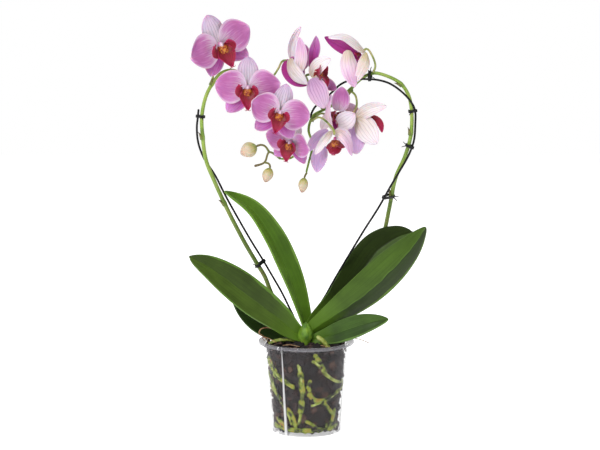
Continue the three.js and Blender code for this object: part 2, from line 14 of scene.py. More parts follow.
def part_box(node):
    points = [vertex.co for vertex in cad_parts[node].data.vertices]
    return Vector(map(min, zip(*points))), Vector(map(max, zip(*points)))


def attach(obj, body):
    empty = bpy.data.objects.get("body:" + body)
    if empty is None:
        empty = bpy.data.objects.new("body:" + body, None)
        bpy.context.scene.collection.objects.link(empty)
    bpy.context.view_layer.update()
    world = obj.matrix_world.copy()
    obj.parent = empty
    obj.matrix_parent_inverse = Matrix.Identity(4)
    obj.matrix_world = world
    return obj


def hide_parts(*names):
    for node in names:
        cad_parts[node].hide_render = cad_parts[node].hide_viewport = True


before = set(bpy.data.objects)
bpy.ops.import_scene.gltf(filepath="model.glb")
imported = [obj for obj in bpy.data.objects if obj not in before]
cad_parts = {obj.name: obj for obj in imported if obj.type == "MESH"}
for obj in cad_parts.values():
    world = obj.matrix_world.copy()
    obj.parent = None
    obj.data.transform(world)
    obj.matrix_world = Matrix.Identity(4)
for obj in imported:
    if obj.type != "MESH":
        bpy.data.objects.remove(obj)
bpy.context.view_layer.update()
POT_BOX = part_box("pot")

bl_info = {
    "name": "Potted orchid",
    "version": (1, 0, 0),
    "blender": (4, 5, 0),
    "location": "View3D > Sidebar > Orchid",
    "description": "Models a potted moth orchid round its packed frame",
    "category": "Object",
}

MM = 0.001
BODY = "root"

# ---------------------------------------------------------------- the plant's layout

# Leaves: the path of the midrib from the base, the largest half-width, the share of the
# length where it comes, the lean of the upper edge away from the front in degrees at base
# and tip, how far the edges stand in front of the midrib as a share of the half-width, the
# height of the waves along the edges, and the colours of the upper half, the lower half,
# the midrib and the margin. The two halves' colours hold painted light and shade: the half
# that faces the light is painted lighter and the half turned from it darker.
LEAVES = {
    "leaf_left_tall": dict(
        midrib=[(1, 0, 126), (-5, 9, 146), (-17, 10, 184), (-32, 4, 221), (-48, -2, 254), (-71, -6, 287),
                (-103, -10, 310)],
        half_width=21, fullest=0.5, tilt=(60, 56), fold=0.35, wave=0.7,
        colours=("#486A16", "#527618", "#567A1E", "#6A8C38"),
    ),
    "leaf_left_broad": dict(
        midrib=[(0, -8, 121), (-15, -11, 130), (-36, -20, 150), (-66, -30, 174), (-98, -36, 200),
                (-124, -38, 219), (-147, -36, 231)],
        half_width=23, fullest=0.58, tilt=(30, 38), fold=0.2, wave=0.8,
        colours=("#364818", "#445A1C", "#445C1E", "#527228"),
    ),
    "leaf_left_low": dict(
        midrib=[(-4, -2, 117), (-15, 8, 121), (-33, 14, 127), (-56, 20, 137), (-76, 24, 150),
                (-94, 26, 164)],
        half_width=19, fullest=0.55, tilt=(35, 40), fold=0.15, wave=0.6,
        colours=("#1C300E", "#283F12", "#33501C", "#3E5C24"),
    ),
    "leaf_right_back": dict(
        midrib=[(1, -4, 127), (11, 7, 141), (42, 18, 168), (69, 25, 199), (94, 28, 230), (118, 28, 246),
                (136, 26, 253)],
        half_width=23, fullest=0.68, tilt=(20, 25), fold=0.45, wave=0.8,
        colours=("#26340E", "#44592A", "#3A4E20", "#48662A"),
    ),
    "leaf_right_front": dict(
        midrib=[(-2, -8, 124), (10, -9, 134), (42, -22, 158), (80, -32, 188), (111, -36, 218),
                (133, -35, 243), (150, -30, 267)],
        half_width=23, fullest=0.6, tilt=(-15, -15), fold=-0.4, wave=0.8,
        colours=("#3C5418", "#263610", "#4C6A24", "#4C681E"),
    ),
    "leaf_right_low": dict(
        midrib=[(6, -9, 119), (25, -13, 124), (47, -22, 133), (72, -29, 143), (90, -32, 148),
                (103, -32, 150)],
        half_width=14, fullest=0.55, tilt=(25, 25), fold=0.2, wave=0.5,
        colours=("#3C5620", "#2C4414", "#4A6628", "#527030"),
    ),
}

# The pot's foot: the width, depth and height of a notch, where the notches stand in degrees
# from the front, and the drain holes' number, radius, depth and distance from the middle.
NOTCH_SIZE = (10, 14, 8)
NOTCH_TURNS = (60, 180, 300)
DRAIN_HOLES = 6
DRAIN_RADIUS = 4
DRAIN_DEPTH = 6
DRAIN_REACH = 26

# The bark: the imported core's bottom and its gap to the wall, the rings of chips against the
# wall and the lowest ring's height, and the loose chips heaped on the top.
CORE_BOTTOM = 5.5
CORE_GAP = 4.2
CHIP_PATTERNS = 10
CHIP_RINGS = 14
CHIPS_IN_RING = 26
LOWEST_RING = 9
LOOSE_CHIPS = 230
HEAP_RADIUS = 47
HEAP_HEIGHT = 8

# Roots just inside the pot's wall: degrees from the front, to the right, and height. The
# gap is between the wall and a root, and a patch is a root pressed flat to that half-depth.
POT_ROOTS = {
    "root_1": [(-92, 97), (-78, 90), (-59, 81), (-36, 71), (-19, 62)],
    "root_2": [(-12, 96), (-9, 82), (-6, 66), (-7, 50), (-10, 28), (-14, 15)],
    "root_3": [(8, 99), (16, 96), (30, 82), (50, 71), (76, 64)],
    "root_4": [(-112, 88), (-92, 77), (-70, 65), (-44, 41), (-32, 27), (-26, 14)],
    "root_5": [(128, 82), (98, 63), (56, 53), (30, 46), (7, 40)],
}
POT_ROOT_RADIUS = 2.3
ROOT_GAP = 0.6
PATCH_HALF_DEPTH = 1.2

# More roots and moss against the wall, only shown: stations as above and the radius.
WALL_PATCHES = [
    ([(-75, 99), (-61, 90), (-51, 82)], 1.6),
    ([(-63, 79), (-38, 72), (-19, 64)], 3.4),
    ([(-80, 60), (-56, 52), (-41, 38)], 2.4),
    ([(-9, 86), (-8, 70), (-4, 54)], 4.0),
    ([(-7, 49), (-10, 29)], 4.0),
    ([(12, 109), (22, 94), (32, 83)], 3.2),
    ([(3, 58), (12, 49), (31, 47), (54, 54)], 3.0),
    ([(25, 48), (38, 36), (53, 26)], 3.0),
    ([(-62, 21), (-41, 12), (-25, 7.5)], 3.4),
    ([(-33, 37), (-23, 24), (-18, 11)], 3.0),
    ([(-40, 8), (-2, 7.9), (36, 8)], 3.3),
    ([(-75, 11), (-55, 8.5), (-38, 8)], 3.2),
    ([(34, 8), (52, 8.5), (72, 11)], 3.2),
    ([(-2, 21), (10, 16), (20, 10)], 2.2),
    ([(40, 10), (51, 19), (57, 34)], 3.6),
    ([(35, 15), (47, 11), (64, 17)], 3.0),
    ([(6, 59), (3, 67), (7, 75)], 2.6),
    ([(100, 90), (120, 60), (140, 30)], 3.0),
    ([(160, 95), (190, 70), (200, 35)], 3.2),
    ([(-150, 80), (-130, 50), (-160, 18)], 3.0),
]

# Thin dry roots that lie on the bark and over the rim.
STRAW_RADIUS = 0.45
STRAWS = [
    [(30, -20, 116), (46, -12, 121), (60, -10, 121.5), (72, -11, 119), (81, -12, 115)],
    [(18, -34, 117), (26, -38, 116), (34, -36, 113)],
    [(-52, -8, 117), (-56, -12, 122), (-50, -20, 124), (-38, -26, 119)],
    [(-30, -30, 116), (-20, -36, 118), (-8, -34, 115)],
]

# Roots above the rim: the path from the crown or the bark, the radius and the slot.
AIR_ROOTS = {
    "air_root_right": dict(
        path=[(13, -22, 126), (20, -26, 122), (27, -29, 114), (31, -30, 107), (31, -30, 101)],
        radius=3.0, slot="root",
    ),
    "air_root_left": dict(
        path=[(-14, -13, 119), (-25, -16, 121), (-37, -16, 120), (-45, -11, 116),
              (-47, -5, 110), (-44, -2, 102)],
        radius=2.2, slot="root",
    ),
    "air_root_loop": dict(
        path=[(-43, 6, 101), (-48, 4, 113), (-54, -2, 122), (-60, -6, 127), (-58, -9, 133),
              (-49, -10, 135.5), (-42, -9, 133)],
        radius=0.9, slot="dry_root",
    ),
}

# The spikes from the crown to their tips, and the wires from the bark up.
LEFT_SPIKE = [
    (-8, 4, 126), (-20, 14, 138), (-34, 18, 150), (-38, 17, 161), (-46, 16, 178), (-53, 14, 197),
    (-64, 12, 216), (-77, 9, 239), (-90, 7, 264), (-103, 4, 291), (-117, 1, 323), (-127, 0, 349),
    (-131, 0, 378), (-132, 0, 404), (-127, 2, 429), (-119, 4, 445), (-107, 8, 459),
    (-92, 10, 462), (-75, 11, 452), (-56, 11, 436), (-34, 8, 420), (-15, 6, 402), (-9, 5, 384),
    (-10, 5, 366), (-18, 4, 352), (-32, 3, 350),
]
LEFT_TIP = [(-32, 3, 350), (-47, 2, 359), (-53, 2, 346), (-66, 2, 341)]
RIGHT_SPIKE = [
    (8, 8, 128), (15, 20, 148), (42, 38, 172), (72, 44, 205), (92, 42, 232), (100, 36, 251),
    (106, 22, 283), (114, 7, 327), (125, 4, 353), (132, 0, 380), (133, 0, 410), (129, 0, 431),
    (119, 1, 446), (103, 3, 455), (86, 6, 459), (75, 10, 455), (65, 16, 447), (55, 20, 436),
    (44, 26, 427), (33, 28, 416), (21, 24, 410), (10, 16, 405), (5, 12, 397), (3, 10, 385),
    (7, 9, 372), (7, 8, 361), (3, 6, 345), (0, 4, 333),
]
LEFT_WIRE = [
    (-6, 29, 60), (-9, 29, 100), (-14, 28, 136), (-23, 26, 157), (-32, 23, 176), (-43, 20, 196),
    (-56, 17, 219), (-72, 14, 246), (-87, 11, 273), (-102, 8, 301), (-116, 7, 329),
    (-130, 6.5, 351), (-137, 5, 371), (-138.5, 3, 390), (-137, 0, 404), (-136, 0, 414),
]
RIGHT_WIRE = [
    (6, 29, 60), (5, 30, 100), (8, 31, 134), (16.5, 29.5, 155), (26, 27, 172), (35.5, 24.5, 190),
    (55, 17, 225), (74.5, 10, 259), (92, 4, 288), (107, -1, 316), (118, -2, 335), (130, -3, 357),
    (136, -4, 375), (137.5, -3, 394), (137, -1, 413), (130, -5, 426), (118, -5, 438), (104, -4, 447),
    (90, -3, 451), (75, -2, 452), (58, 3, 451), (43, 11, 444), (36, 12.5, 437.5), (29, 8.5, 431),
    (23, 8, 425), (12, 8, 417), (7, 6, 409), (5, 5, 402),
]

# The stalk of each flower and bud, from the spike. It goes on to the back of its flower.
LEFT_STALKS = {
    "flower_1": [(-120, 5, 446), (-116, 2, 461), (-112, -6, 478)],
    "flower_2": [(-92, 10, 462), (-84, 2, 460), (-77, -8, 451)],
    "flower_3": [(-56, 11, 436), (-48, 2, 432), (-39, -12, 424)],
    "flower_4": [(-15, 6, 402), (-14, -5, 396), (-14, -13, 386)],
    "flower_5": [(-56, 11, 436), (-46, 17, 448), (-36, 14, 463)],
}
RIGHT_STALKS = {
    "flower_6": [(21, 24, 410), (14, 27, 424), (5, 21, 440), (1, 12, 451)],
    "flower_7": [(84, 6, 459), (87, 3, 468), (83, 0, 481)],
    "flower_8": [(6, 13, 399), (13, 12, 404), (19, 14, 407)],
    "flower_9": [(55, 20, 436), (62, 19, 430), (64, 16, 417)],
    "flower_10": [(5, 12, 397), (11, 7, 401), (17, -7, 404), (24, -18, 401)],
}
LEFT_BUD_STALKS = {
    "bud_1": [(-47, 2, 359), (-52, 1, 366.5), (-57, 0, 368.5)],
    "bud_2": [(-53, 2, 346), (-47, 1, 344)],
}
RIGHT_BUD_STALKS = {"bud_3": [(1, 4, 333), (-1, 2, 330)]}

# How far behind a flower's centre its stalk straightens and ends, and how much and how far
# a spike swells at a joint.
STALK_LEAD = 7
STALK_END = 1.2
JOINT_SWELL = 0.22
JOINT_REACH = 3.5

# Sheathing bracts: a point of the spike where each one sits. Then their length, how far they
# start below the joint, and the degrees that they wrap.
LEFT_BRACTS = [(-104, 4, 294), (-131, 0, 378), (-120, 5, 446), (-56, 11, 436), (-15, 6, 402)]
RIGHT_BRACTS = [(109, 14, 303), (132, 0, 384), (119, 1, 446), (55, 20, 436), (9, 15, 404)]
BRACT_LENGTH = 10
BRACT_DROP = 3
BRACT_WRAP = 200

# Clips: the side, and a point near which the clip holds the spike to its wire. Then how thick
# a clip's band is, half its height, and its clearance round a stem.
CLIPS = {
    "clip_left_low": ("left", (-57, 12, 215)),
    "clip_left_high": ("left", (-137, 0, 405)),
    "clip_right_low": ("right", (99, 2, 298)),
    "clip_right_middle": ("right", (133, -3, 366)),
    "clip_right_high": ("right", (137, 0, 412)),
    "clip_top": ("right", (79, -2, 452)),
}
CLIP_THICKNESS = 1.2
CLIP_HALF_HEIGHT = 1.8
CLIP_CLEARANCE = 0.3


def head(at, turn, size, cups, lip, **extra):
    """A flower head: its centre, (yaw, nod, lean) in degrees, its size, how far the sepals
    and the petals close forward in degrees, the lip's size, and further closing by tepal."""
    return dict(at=at, turn=turn, size=size, cups=cups, lip=lip, extra=extra)


FLOWERS = {
    "flower_1": head((-108.5, -25, 496.5), (22, 8, -27), 1.05, (4, 10), 1.12),
    "flower_2": head((-73, -28, 442), (0, 4, 0), 1, (2, 6), 1),
    "flower_3": head((-34, -42, 413), (4, 6, 15), 0.92, (2, 6), 0.95),
    "flower_4": head((-18, -16, 374), (-24, 14, 12), 0.82, (4, 10), 0.9, right_petal=14),
    "flower_5": head((-23, 8, 475), (95, -8, 0), 0.98, (24, 26), 0.7),
    "flower_6": head((6, 2, 458), (70, -15, 0), 1.06, (16, 22), 0.95),
    "flower_7": head((70, 0, 487), (-90, 25, 0), 0.95, (44, 46), 0.38),
    "flower_8": head((29, 12, 406), (55, 0, 0), 0.8, (15, 30), 0.8),
    "flower_9": head((63, 15, 400), (130, 35, -35), 0.98, (22, 26), 0.9),
    "flower_10": head((35, -34, 384), (172, 62, 0), 0.88, (36, 38), 0.85),
}

# The tepals of the flowers that are seen from the side or behind: whorl, skin, midrib from
# the base, half-width, and the way the inner face looks.
TURNED = {
    "flower_5": [
        ("sepal", "pale", [(-18, 10, 475), (-19, 12, 490), (-16, 12, 503), (-7, 10, 517)],
         5, (0.45, -0.9, 0.1)),
        ("petal", "blush", [(-12, -4, 457), (-8, -9, 474), (-7, -10, 489), (-9, -8, 505)],
         7.5, (0.2, 1, 0)),
        ("sepal", "white", [(-21, 4, 477), (-20, -5, 466), (-12, -8, 456), (1, -6, 446)],
         9.5, (0.45, 0.8, 0.35)),
        ("sepal", "deep", [(-22, 8, 476), (-24, 4, 463), (-15, 2, 451), (1, 2, 444)],
         8, (0.2, -1, 0.2)),
        ("petal", "petal", [(-12, 14, 460), (-5, 18, 475), (-3, 20, 485), (-4, 18, 495)],
         9, (0.3, -1, 0)),
        ("sepal", "side_sepal", [(-19, 12, 472), (-11, 16, 462), (-4, 18, 452)],
         8, (0.3, -1, 0.2)),
    ],
    "flower_6": [
        ("sepal", "side_sepal", [(6, 8, 465), (8, 8, 480), (11, 8, 493), (12, 6, 506)],
         7, (0.35, -0.9, 0)),
        ("petal", "white", [(6, -2, 455), (12, -8, 467), (20, -12, 474), (30, -14, 479)],
         9.5, (0.4, 0.9, -0.2)),
        ("petal", "petal", [(8, 10, 460), (17, 18, 464), (25, 26, 469)], 10, (0.6, -0.8, 0)),
        ("sepal", "veined", [(7, -2, 453), (13, -6, 441), (18, -8, 429), (23, -8, 416)],
         12.5, (-0.2, -1, 0.1)),
        ("sepal", "petal", [(15, 4, 449), (25, 8, 446), (38, 10, 438)], 7, (-0.1, -1, 0)),
    ],
    "flower_7": [
        ("sepal", "white", [(75, -2, 485), (60, -8, 499), (45, -10, 507), (28, -8, 505)],
         8, (-0.2, 0.55, -0.8)),
        # The inside of this petal is painted dark magenta as shade.
        ("petal", "deep", [(69, 4, 478), (55, 0, 487), (40, -2, 495), (23, -2, 505)],
         7.5, (-0.1, -1, 0.1)),
        ("petal", "blush", [(53, -12, 489), (53, -16, 476), (56, -16, 461), (61, -12, 443)],
         10.5, (-0.3, 1, 0)),
        ("sepal", "back", [(75, -4, 485), (74, -10, 474), (69, -12, 462), (62, -10, 449)],
         8.5, (-0.6, 0.8, 0)),
        ("sepal", "side_sepal", [(65, 8, 475), (60, 12, 465), (58, 12, 452)], 8, (-0.2, -1, 0)),
    ],
    "flower_8": [
        ("petal", "petal", [(40, 8, 411), (43, 4, 424), (45, 2, 442)], 11, (0.1, -1, 0)),
        ("petal", "blush", [(34, 0, 385), (26, -10, 400), (26, -12, 416), (31, -8, 433)],
         8, (0.88, 0.45, 0)),
        ("sepal", "pale", [(39, 2, 394), (50, -2, 400), (61, 0, 408)], 11, (0, -1, 0)),
        ("sepal", "side_sepal", [(34, 8, 399), (40, 8, 389), (45, 8, 376)], 8, (0, -1, 0)),
        ("sepal", "pale", [(33, 10, 409), (25, 10, 397), (20, 10, 386)], 7, (0, -1, 0)),
    ],
    "flower_9": [
        ("sepal", "white", [(63, 8, 401), (73, 2, 410), (84, 0, 415), (101, 0, 418)],
         8.5, (0.2, 0.9, -0.3)),
        ("petal", "white", [(63, 8, 401), (72, 0, 392), (80, -4, 381), (89, -4, 370)],
         14, (0.1, 0.95, 0.1)),
        ("sepal", "lavender", [(63, 12, 398), (62, 10, 385), (62, 8, 371), (64, 8, 356)],
         13.5, (0, -1, 0.1)),
        ("petal", "white", [(63, 10, 400), (55, 4, 398), (45, 2, 395)], 9, (0, 1, 0)),
        ("sepal", "blush", [(63, 14, 401), (58, 16, 410), (54, 16, 420)], 8, (0, 1, 0)),
        ("petal", "lip", [(72, 8, 402), (84, 5, 401), (93, 4, 395), (96, 3, 384)], 5, (0.3, -1, 0)),
    ],
    "flower_10": [
        ("petal", "lavender", [(28, -14, 388), (18, -16, 382), (10, -16, 374), (2, -14, 362)],
         7, (0, -1, 0)),
        ("sepal", "white", [(31, -18, 388), (24, -26, 380), (18, -28, 372), (11, -28, 360)],
         5.5, (0.4, 0.8, -0.3)),
        ("petal", "blush", [(33, -18, 388), (43, -28, 386), (52, -30, 376), (57, -28, 358)],
         7, (-0.5, 0.8, -0.2)),
        ("sepal", "lavender", [(22, -10, 369), (17, -12, 357), (13, -12, 335)], 9.5, (0, -1, 0)),
        ("sepal", "pale", [(36, -8, 387), (46, -10, 383), (56, -10, 380)], 8, (0, -1, 0)),
    ],
}

# Buds: the centre, the way the tip hangs, the length and the largest radius.
BUDS = {
    "bud_1": dict(at=(-73, 0, 362), hang=(-0.9, 0, -0.45), length=23, radius=10.8),
    "bud_2": dict(at=(-49, 0, 330), hang=(-0.35, 0, -0.94), length=20, radius=7.8),
    "bud_3": dict(at=(-4, 0, 317), hang=(-0.15, 0, -0.99), length=20, radius=7.0),
}

# Tepals: length and half-width, a power that moves the fullest place outwards as it grows,
# and the angle from the back sepal, which points up. They start a little out from the middle,
# and bend forward by the curl in degrees. Petals lie a layer in front of the sepals.
TEPAL_START = 2.0
TEPAL_CURL = 12.0
BACK_SEPAL = dict(length=41, half_width=12.5, fullest=1.05, angle=0)
SIDE_SEPAL = dict(length=39, half_width=12, fullest=1.05, angle=138)
PETAL = dict(length=42, half_width=21, fullest=0.95, angle=80)
PETAL_LAYER = 2.2

# The tepals of an open flower: part, whorl, skin, shape and hand.
OPEN_TEPALS = (
    ("top", "sepal", "back_sepal", BACK_SEPAL, 1),
    ("right", "sepal", "side_sepal", SIDE_SEPAL, 1),
    ("left", "sepal", "side_sepal", SIDE_SEPAL, -1),
    ("right_petal", "petal", "petal", PETAL, 1),
    ("left_petal", "petal", "petal", PETAL, -1),
)

# The warty callus in the lip's throat and the column over it, before they are scaled.
CALLUS = dict(centre=(0, -8.8, -3.6), size=(5.2, 4.2, 5.2), lumps=0.2)
COLUMN = dict(centre=(0, -5.4, 2.6), size=(2.6, 5.4, 3.1), lumps=0.08)


# ---------------------------------------------------------------- settings


def linear(hex_colour):
    """The linear RGBA of an sRGB hex colour."""
    channels = [int(hex_colour[i:i + 2], 16) / 255 for i in (1, 3, 5)]
    curved = [c / 12.92 if c <= 0.04045 else ((c + 0.055) / 1.055) ** 2.4 for c in channels]
    return (*curved, 1.0)


def colour(name, description, hex_colour):
    """A colour property whose default is a hex colour."""
    return bpy.props.FloatVectorProperty(
        name=name, description=description, default=linear(hex_colour), size=4,
        min=0.0, max=1.0, subtype="COLOR",
    )


def length(name, description, millimetres):
    """A length property whose default is in millimetres."""
    return bpy.props.FloatProperty(
        name=name, description=description, default=millimetres * MM, min=0.0, unit="LENGTH",
    )


class OrchidPotSettings(bpy.types.PropertyGroup):
    """Sizes and colours of the pot and its bark"""

    wall: length("Wall", "Thickness of the pot's wall", 1.1)
    rim_depth: length("Rim depth", "Height of the rolled rim", 4.0)
    neck_radius: length("Neck radius", "Outside radius of the wall at the top", 54.0)
    foot_radius: length("Foot radius", "Outside radius of the wall at the foot", 43.8)
    floor_height: length("Floor height", "Height of the raised floor", 4.5)
    plastic: colour("Plastic", "Tint of the clear plastic", "#7E7C82")
    bark: colour("Bark", "Colour of the bark chips", "#2C1D1C")
    bark_top: length("Bark top", "Height of the bed of bark", 109.0)


class OrchidPlantSettings(bpy.types.PropertyGroup):
    """Sizes and colours of the leaves, spikes, roots and buds"""

    leaf_thickness: length("Leaf thickness", "Thickness of a leaf at its midrib", 2.2)
    spike_foot: length("Spike foot radius", "Radius of a spike at its foot", 2.8)
    spike_tip: length("Spike tip radius", "Radius of a spike at its tip", 1.3)
    stalk_radius: length("Stalk radius", "Radius of a flower's stalk", 1.3)
    spike: colour("Spike", "Colour of the spikes and stalks", "#7E9A3E")
    root: colour("Root", "Colour of the living roots", "#87943A")
    crown: colour("Crown", "Colour of the crown", "#6F9428")
    bud: colour("Bud", "Colour of the buds", "#BDB098")


class OrchidFlowerSettings(bpy.types.PropertyGroup):
    """Thickness and colours of the open flowers"""

    thickness: length("Tepal thickness", "Thickness of the sepals and petals", 0.7)
    petal: colour("Petal", "Main colour of the petals", "#B974AC")
    petal_deep: colour("Petal middle", "Deeper colour in the middle of a petal", "#A45894")
    pale: colour("Pale", "Colour of the margins and the flower's middle", "#CFBACD")
    back: colour("Back", "Colour of the backs of the tepals", "#E6D6DA")
    lip: colour("Lip", "Main colour of the lip", "#8A0C2C")


class OrchidSupportSettings(bpy.types.PropertyGroup):
    """Size and colour of the wires and clips"""

    wire_radius: length("Wire radius", "Radius of the support wires", 1.35)
    black: colour("Black", "Colour of the wires and clips", "#0A0A0B")


SETTINGS = {
    "orchid_pot": OrchidPotSettings,
    "orchid_plant": OrchidPlantSettings,
    "orchid_flower": OrchidFlowerSettings,
    "orchid_support": OrchidSupportSettings,
}

# ---------------------------------------------------------------- making and finishing pieces


def select_only(*pieces):
    """Leaves only these pieces selected, the first of them active."""
    bpy.ops.object.select_all(action="DESELECT")
    for piece in pieces:
        piece.select_set(True)
    if pieces:
        bpy.context.view_layer.objects.active = pieces[0]


def surface(name, columns, rows, point):
    """A grid bent so that the place of each of its points is point(u, v), in millimetres,
    with u across and v along it, both from 0 to 1."""
    select_only()
    bpy.ops.mesh.primitive_grid_add(x_subdivisions=columns, y_subdivisions=rows, size=2)
    piece = bpy.context.object
    piece.name = name
    for vertex in piece.data.vertices:
        vertex.co = point((vertex.co.x + 1) / 2, (vertex.co.y + 1) / 2) * MM
    return piece


def weld(piece):
    """Closes the seams and poles of a piece and turns its faces outwards."""
    select_only(piece)
    bpy.ops.object.mode_set(mode="EDIT")
    bpy.ops.mesh.select_all(action="SELECT")
    bpy.ops.mesh.remove_doubles(threshold=0.005 * MM)
    bpy.ops.mesh.normals_make_consistent(inside=False)
    bpy.ops.object.mode_set(mode="OBJECT")
    return piece


def apply_modifier(piece, kind, **settings):
    """Adds a modifier to a piece and applies it."""
    select_only(piece)
    modifier = piece.modifiers.new(kind.title(), kind)
    for key, value in settings.items():
        setattr(modifier, key, value)
    bpy.ops.object.modifier_apply(modifier=modifier.name)
    return piece


def join(name, pieces):
    """Joins pieces into one."""
    select_only(*pieces)
    if len(pieces) > 1:
        bpy.ops.object.join()
    joined = bpy.context.view_layer.objects.active
    joined.name = name
    joined.data.name = name
    return joined


def paint(piece, *materials):
    """Gives a piece its materials. Faces use them by number."""
    piece.data.materials.clear()
    for material in materials:
        piece.data.materials.append(material)
    return piece


def finish(piece, slot, *nodes, angle=60):
    """Puts a piece at rest in the frame: smooth, riding on the body, standing for nodes."""
    select_only(piece)
    bpy.ops.object.transform_apply(location=True, rotation=True, scale=True)
    bpy.ops.object.shade_smooth_by_angle(angle=math.radians(angle))
    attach(piece, BODY)
    if nodes:
        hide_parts(*nodes)
    return piece


class Path:
    """A smooth curve through points, measured along its length. Its knots are centripetal."""

    STEPS = 16
    SEARCH_STEPS = 600

    def __init__(self, points):
        knots = [Vector(p) for p in points]
        knots = [2 * knots[0] - knots[1], *knots, 2 * knots[-1] - knots[-2]]
        self.places = [knots[1]]
        for window in zip(knots, knots[1:], knots[2:], knots[3:]):
            for step in range(1, self.STEPS + 1):
                self.places.append(self.between(*window, step / self.STEPS))
        self.lengths = [0.0]
        for a, b in zip(self.places, self.places[1:]):
            self.lengths.append(self.lengths[-1] + (b - a).length)
        self.length = self.lengths[-1]

    @staticmethod
    def between(a, b, c, d, t):
        """The point a share t of the way from b to c."""
        ab, bc, cd = (max((q - p).length ** 0.5, 1e-6) for p, q in ((a, b), (b, c), (c, d)))
        out = ((b - a) / ab - (c - a) / (ab + bc) + (c - b) / bc) * bc
        into = ((c - b) / bc - (d - b) / (bc + cd) + (d - c) / cd) * bc
        cubic = 2 * b - 2 * c + out + into
        square = 3 * c - 3 * b - 2 * out - into
        return cubic * t ** 3 + square * t ** 2 + out * t + b

    def at(self, share):
        """The point a share of the length along."""
        target = min(max(share, 0.0), 1.0) * self.length
        low, high = 0, len(self.lengths) - 1
        while high - low > 1:
            middle = (low + high) // 2
            low, high = (middle, high) if self.lengths[middle] <= target else (low, middle)
        span = self.lengths[high] - self.lengths[low]
        return self.places[low].lerp(self.places[high], (target - self.lengths[low]) / max(span, 1e-9))

    def along(self, share):
        """The direction of the curve a share of the length along."""
        return (self.at(share + 0.002) - self.at(share - 0.002)).normalized()

    def nearest(self, point):
        """The share of the length that comes closest to a point."""
        shares = [step / self.SEARCH_STEPS for step in range(self.SEARCH_STEPS + 1)]
        return min(shares, key=lambda share: (self.at(share) - Vector(point)).length)


def rod(name, path, radius, sides=12, step=3.0):
    """A round rod along a path, with radius(share) in millimetres and rounded ends."""
    first, last = radius(0), radius(1)
    count = max(3, round(path.length / step))
    shares = [i / count for i in range(count + 1)]
    begin, end = first / path.length, last / path.length
    inner = [s for s in shares if begin * 1.2 < s < 1 - end * 1.2]
    # Each end is a quarter circle in three steps.
    stations = [(0, 0), (0.13 * begin, 0.5), (0.5 * begin, 0.87), (begin, 1)]
    stations += [(s, 1) for s in inner]
    stations += [(1 - end, 1), (1 - 0.5 * end, 0.87), (1 - 0.13 * end, 0.5), (1, 0)]
    tangent = path.along(0)
    side = tangent.orthogonal().normalized()
    rings = []
    for share, fullness in stations:
        ahead = path.along(share)
        side = (tangent.rotation_difference(ahead) @ side).normalized()
        tangent = ahead
        rings.append((path.at(share), side.copy(), ahead.cross(side), radius(share) * fullness))
    rows = len(stations) - 1

    def point(u, v):
        centre, out, up, size = rings[round(v * rows)]
        turn = 2 * math.pi * u
        return centre + (out * math.cos(turn) + up * math.sin(turn)) * size

    return weld(surface(name, sides, rows, point))


def turned(name, profile, columns, shift=(0, 0, 0), wobble=None):
    """A closed shape turned round the vertical from (radius, height) points, in millimetres."""
    rows = len(profile) - 1
    shift = Vector(shift)

    def point(u, v):
        radius, height = profile[round(v * rows)]
        turn = 2 * math.pi * u
        place = Vector((radius * math.sin(turn), -radius * math.cos(turn), height))
        if wobble and radius > 0:
            place += Vector((place.x, place.y, 0)).normalized() * wobble(turn, height)
        return place + shift

    return weld(surface(name, columns, rows, point))


# ---------------------------------------------------------------- materials


def add(tree, kind, links=None, stops=None, **settings):
    """Adds a shader node. links maps its inputs to sockets or values, and stops are the
    (place, colour) pairs of a colour ramp."""
    node = tree.nodes.new("ShaderNode" + kind)
    for key, value in settings.items():
        setattr(node, key, value)
    for key, value in (links or {}).items():
        if isinstance(value, bpy.types.NodeSocket):
            tree.links.new(value, node.inputs[key])
        else:
            node.inputs[key].default_value = value
    if stops:
        elements = node.color_ramp.elements
        while len(elements) < len(stops):
            elements.new(0.5)
        for element, (place, shade) in zip(elements, stops):
            element.position = place
            element.color = linear(shade) if isinstance(shade, str) else shade
    return node


def new_material(name, **principled):
    """An empty material, its node tree and its Principled shader."""
    material = bpy.data.materials.new(name)
    material.use_nodes = True
    tree = material.node_tree
    shader = tree.nodes["Principled BSDF"]
    for key, value in principled.items():
        shader.inputs[key.replace("_", " ").title().replace("Ior", "IOR")].default_value = value
    return material, tree, shader


def cover(tree, shader, shade, relief, rise, strength):
    """Gives a shader its colour, and a relief that rises at most so many millimetres."""
    raised = add(tree, "Bump", {"Height": relief, "Distance": rise * MM, "Strength": strength})
    tree.links.new(shade, shader.inputs["Base Color"])
    tree.links.new(raised.outputs["Normal"], shader.inputs["Normal"])


def patchy(name, stops, patch, detail, rise, strength, **principled):
    """A surface in soft patches, so many millimetres across, that also stand up a little."""
    material, tree, shader = new_material(name, **principled)
    place = add(tree, "TexCoord").outputs["Object"]
    cloud = add(tree, "TexNoise", {"Vector": place, "Scale": 1 / (patch * MM), "Detail": detail})
    ramp = add(tree, "ValToRGB", {"Fac": cloud.outputs["Fac"]}, stops=stops)
    cover(tree, shader, ramp.outputs["Color"], cloud.outputs["Fac"], rise, strength)
    return material


# The pot's plastic. Its painted reflection, a white upright streak, and its draw lines stand
# at a share of a whole turn from the front through the left, and the painted reflection
# narrows from the foot up. How milky a place is goes from 0 where it is clear to 1 where it
# is solid.
REFLECTION_PLACE = 0.1
REFLECTION_WIDTHS = (0.011, 0.0016)
REFLECTION_STRENGTH = 0.62
DRAW_LINES = [
    (0.0, "#000000"), (0.174, "#000000"), (0.183, "#4A4A4A"), (0.192, "#000000"),
    (0.83, "#000000"), (0.84, "#424242"), (0.852, "#000000"),
]
RIM_MILK = 0.4
FOOT_MILK = 0.2
MIST_MILK = 0.03
FACE_MILK, EDGE_MILK = 0.004, 0.26
FACE_MIRROR, EDGE_MIRROR = 0.007, 0.16


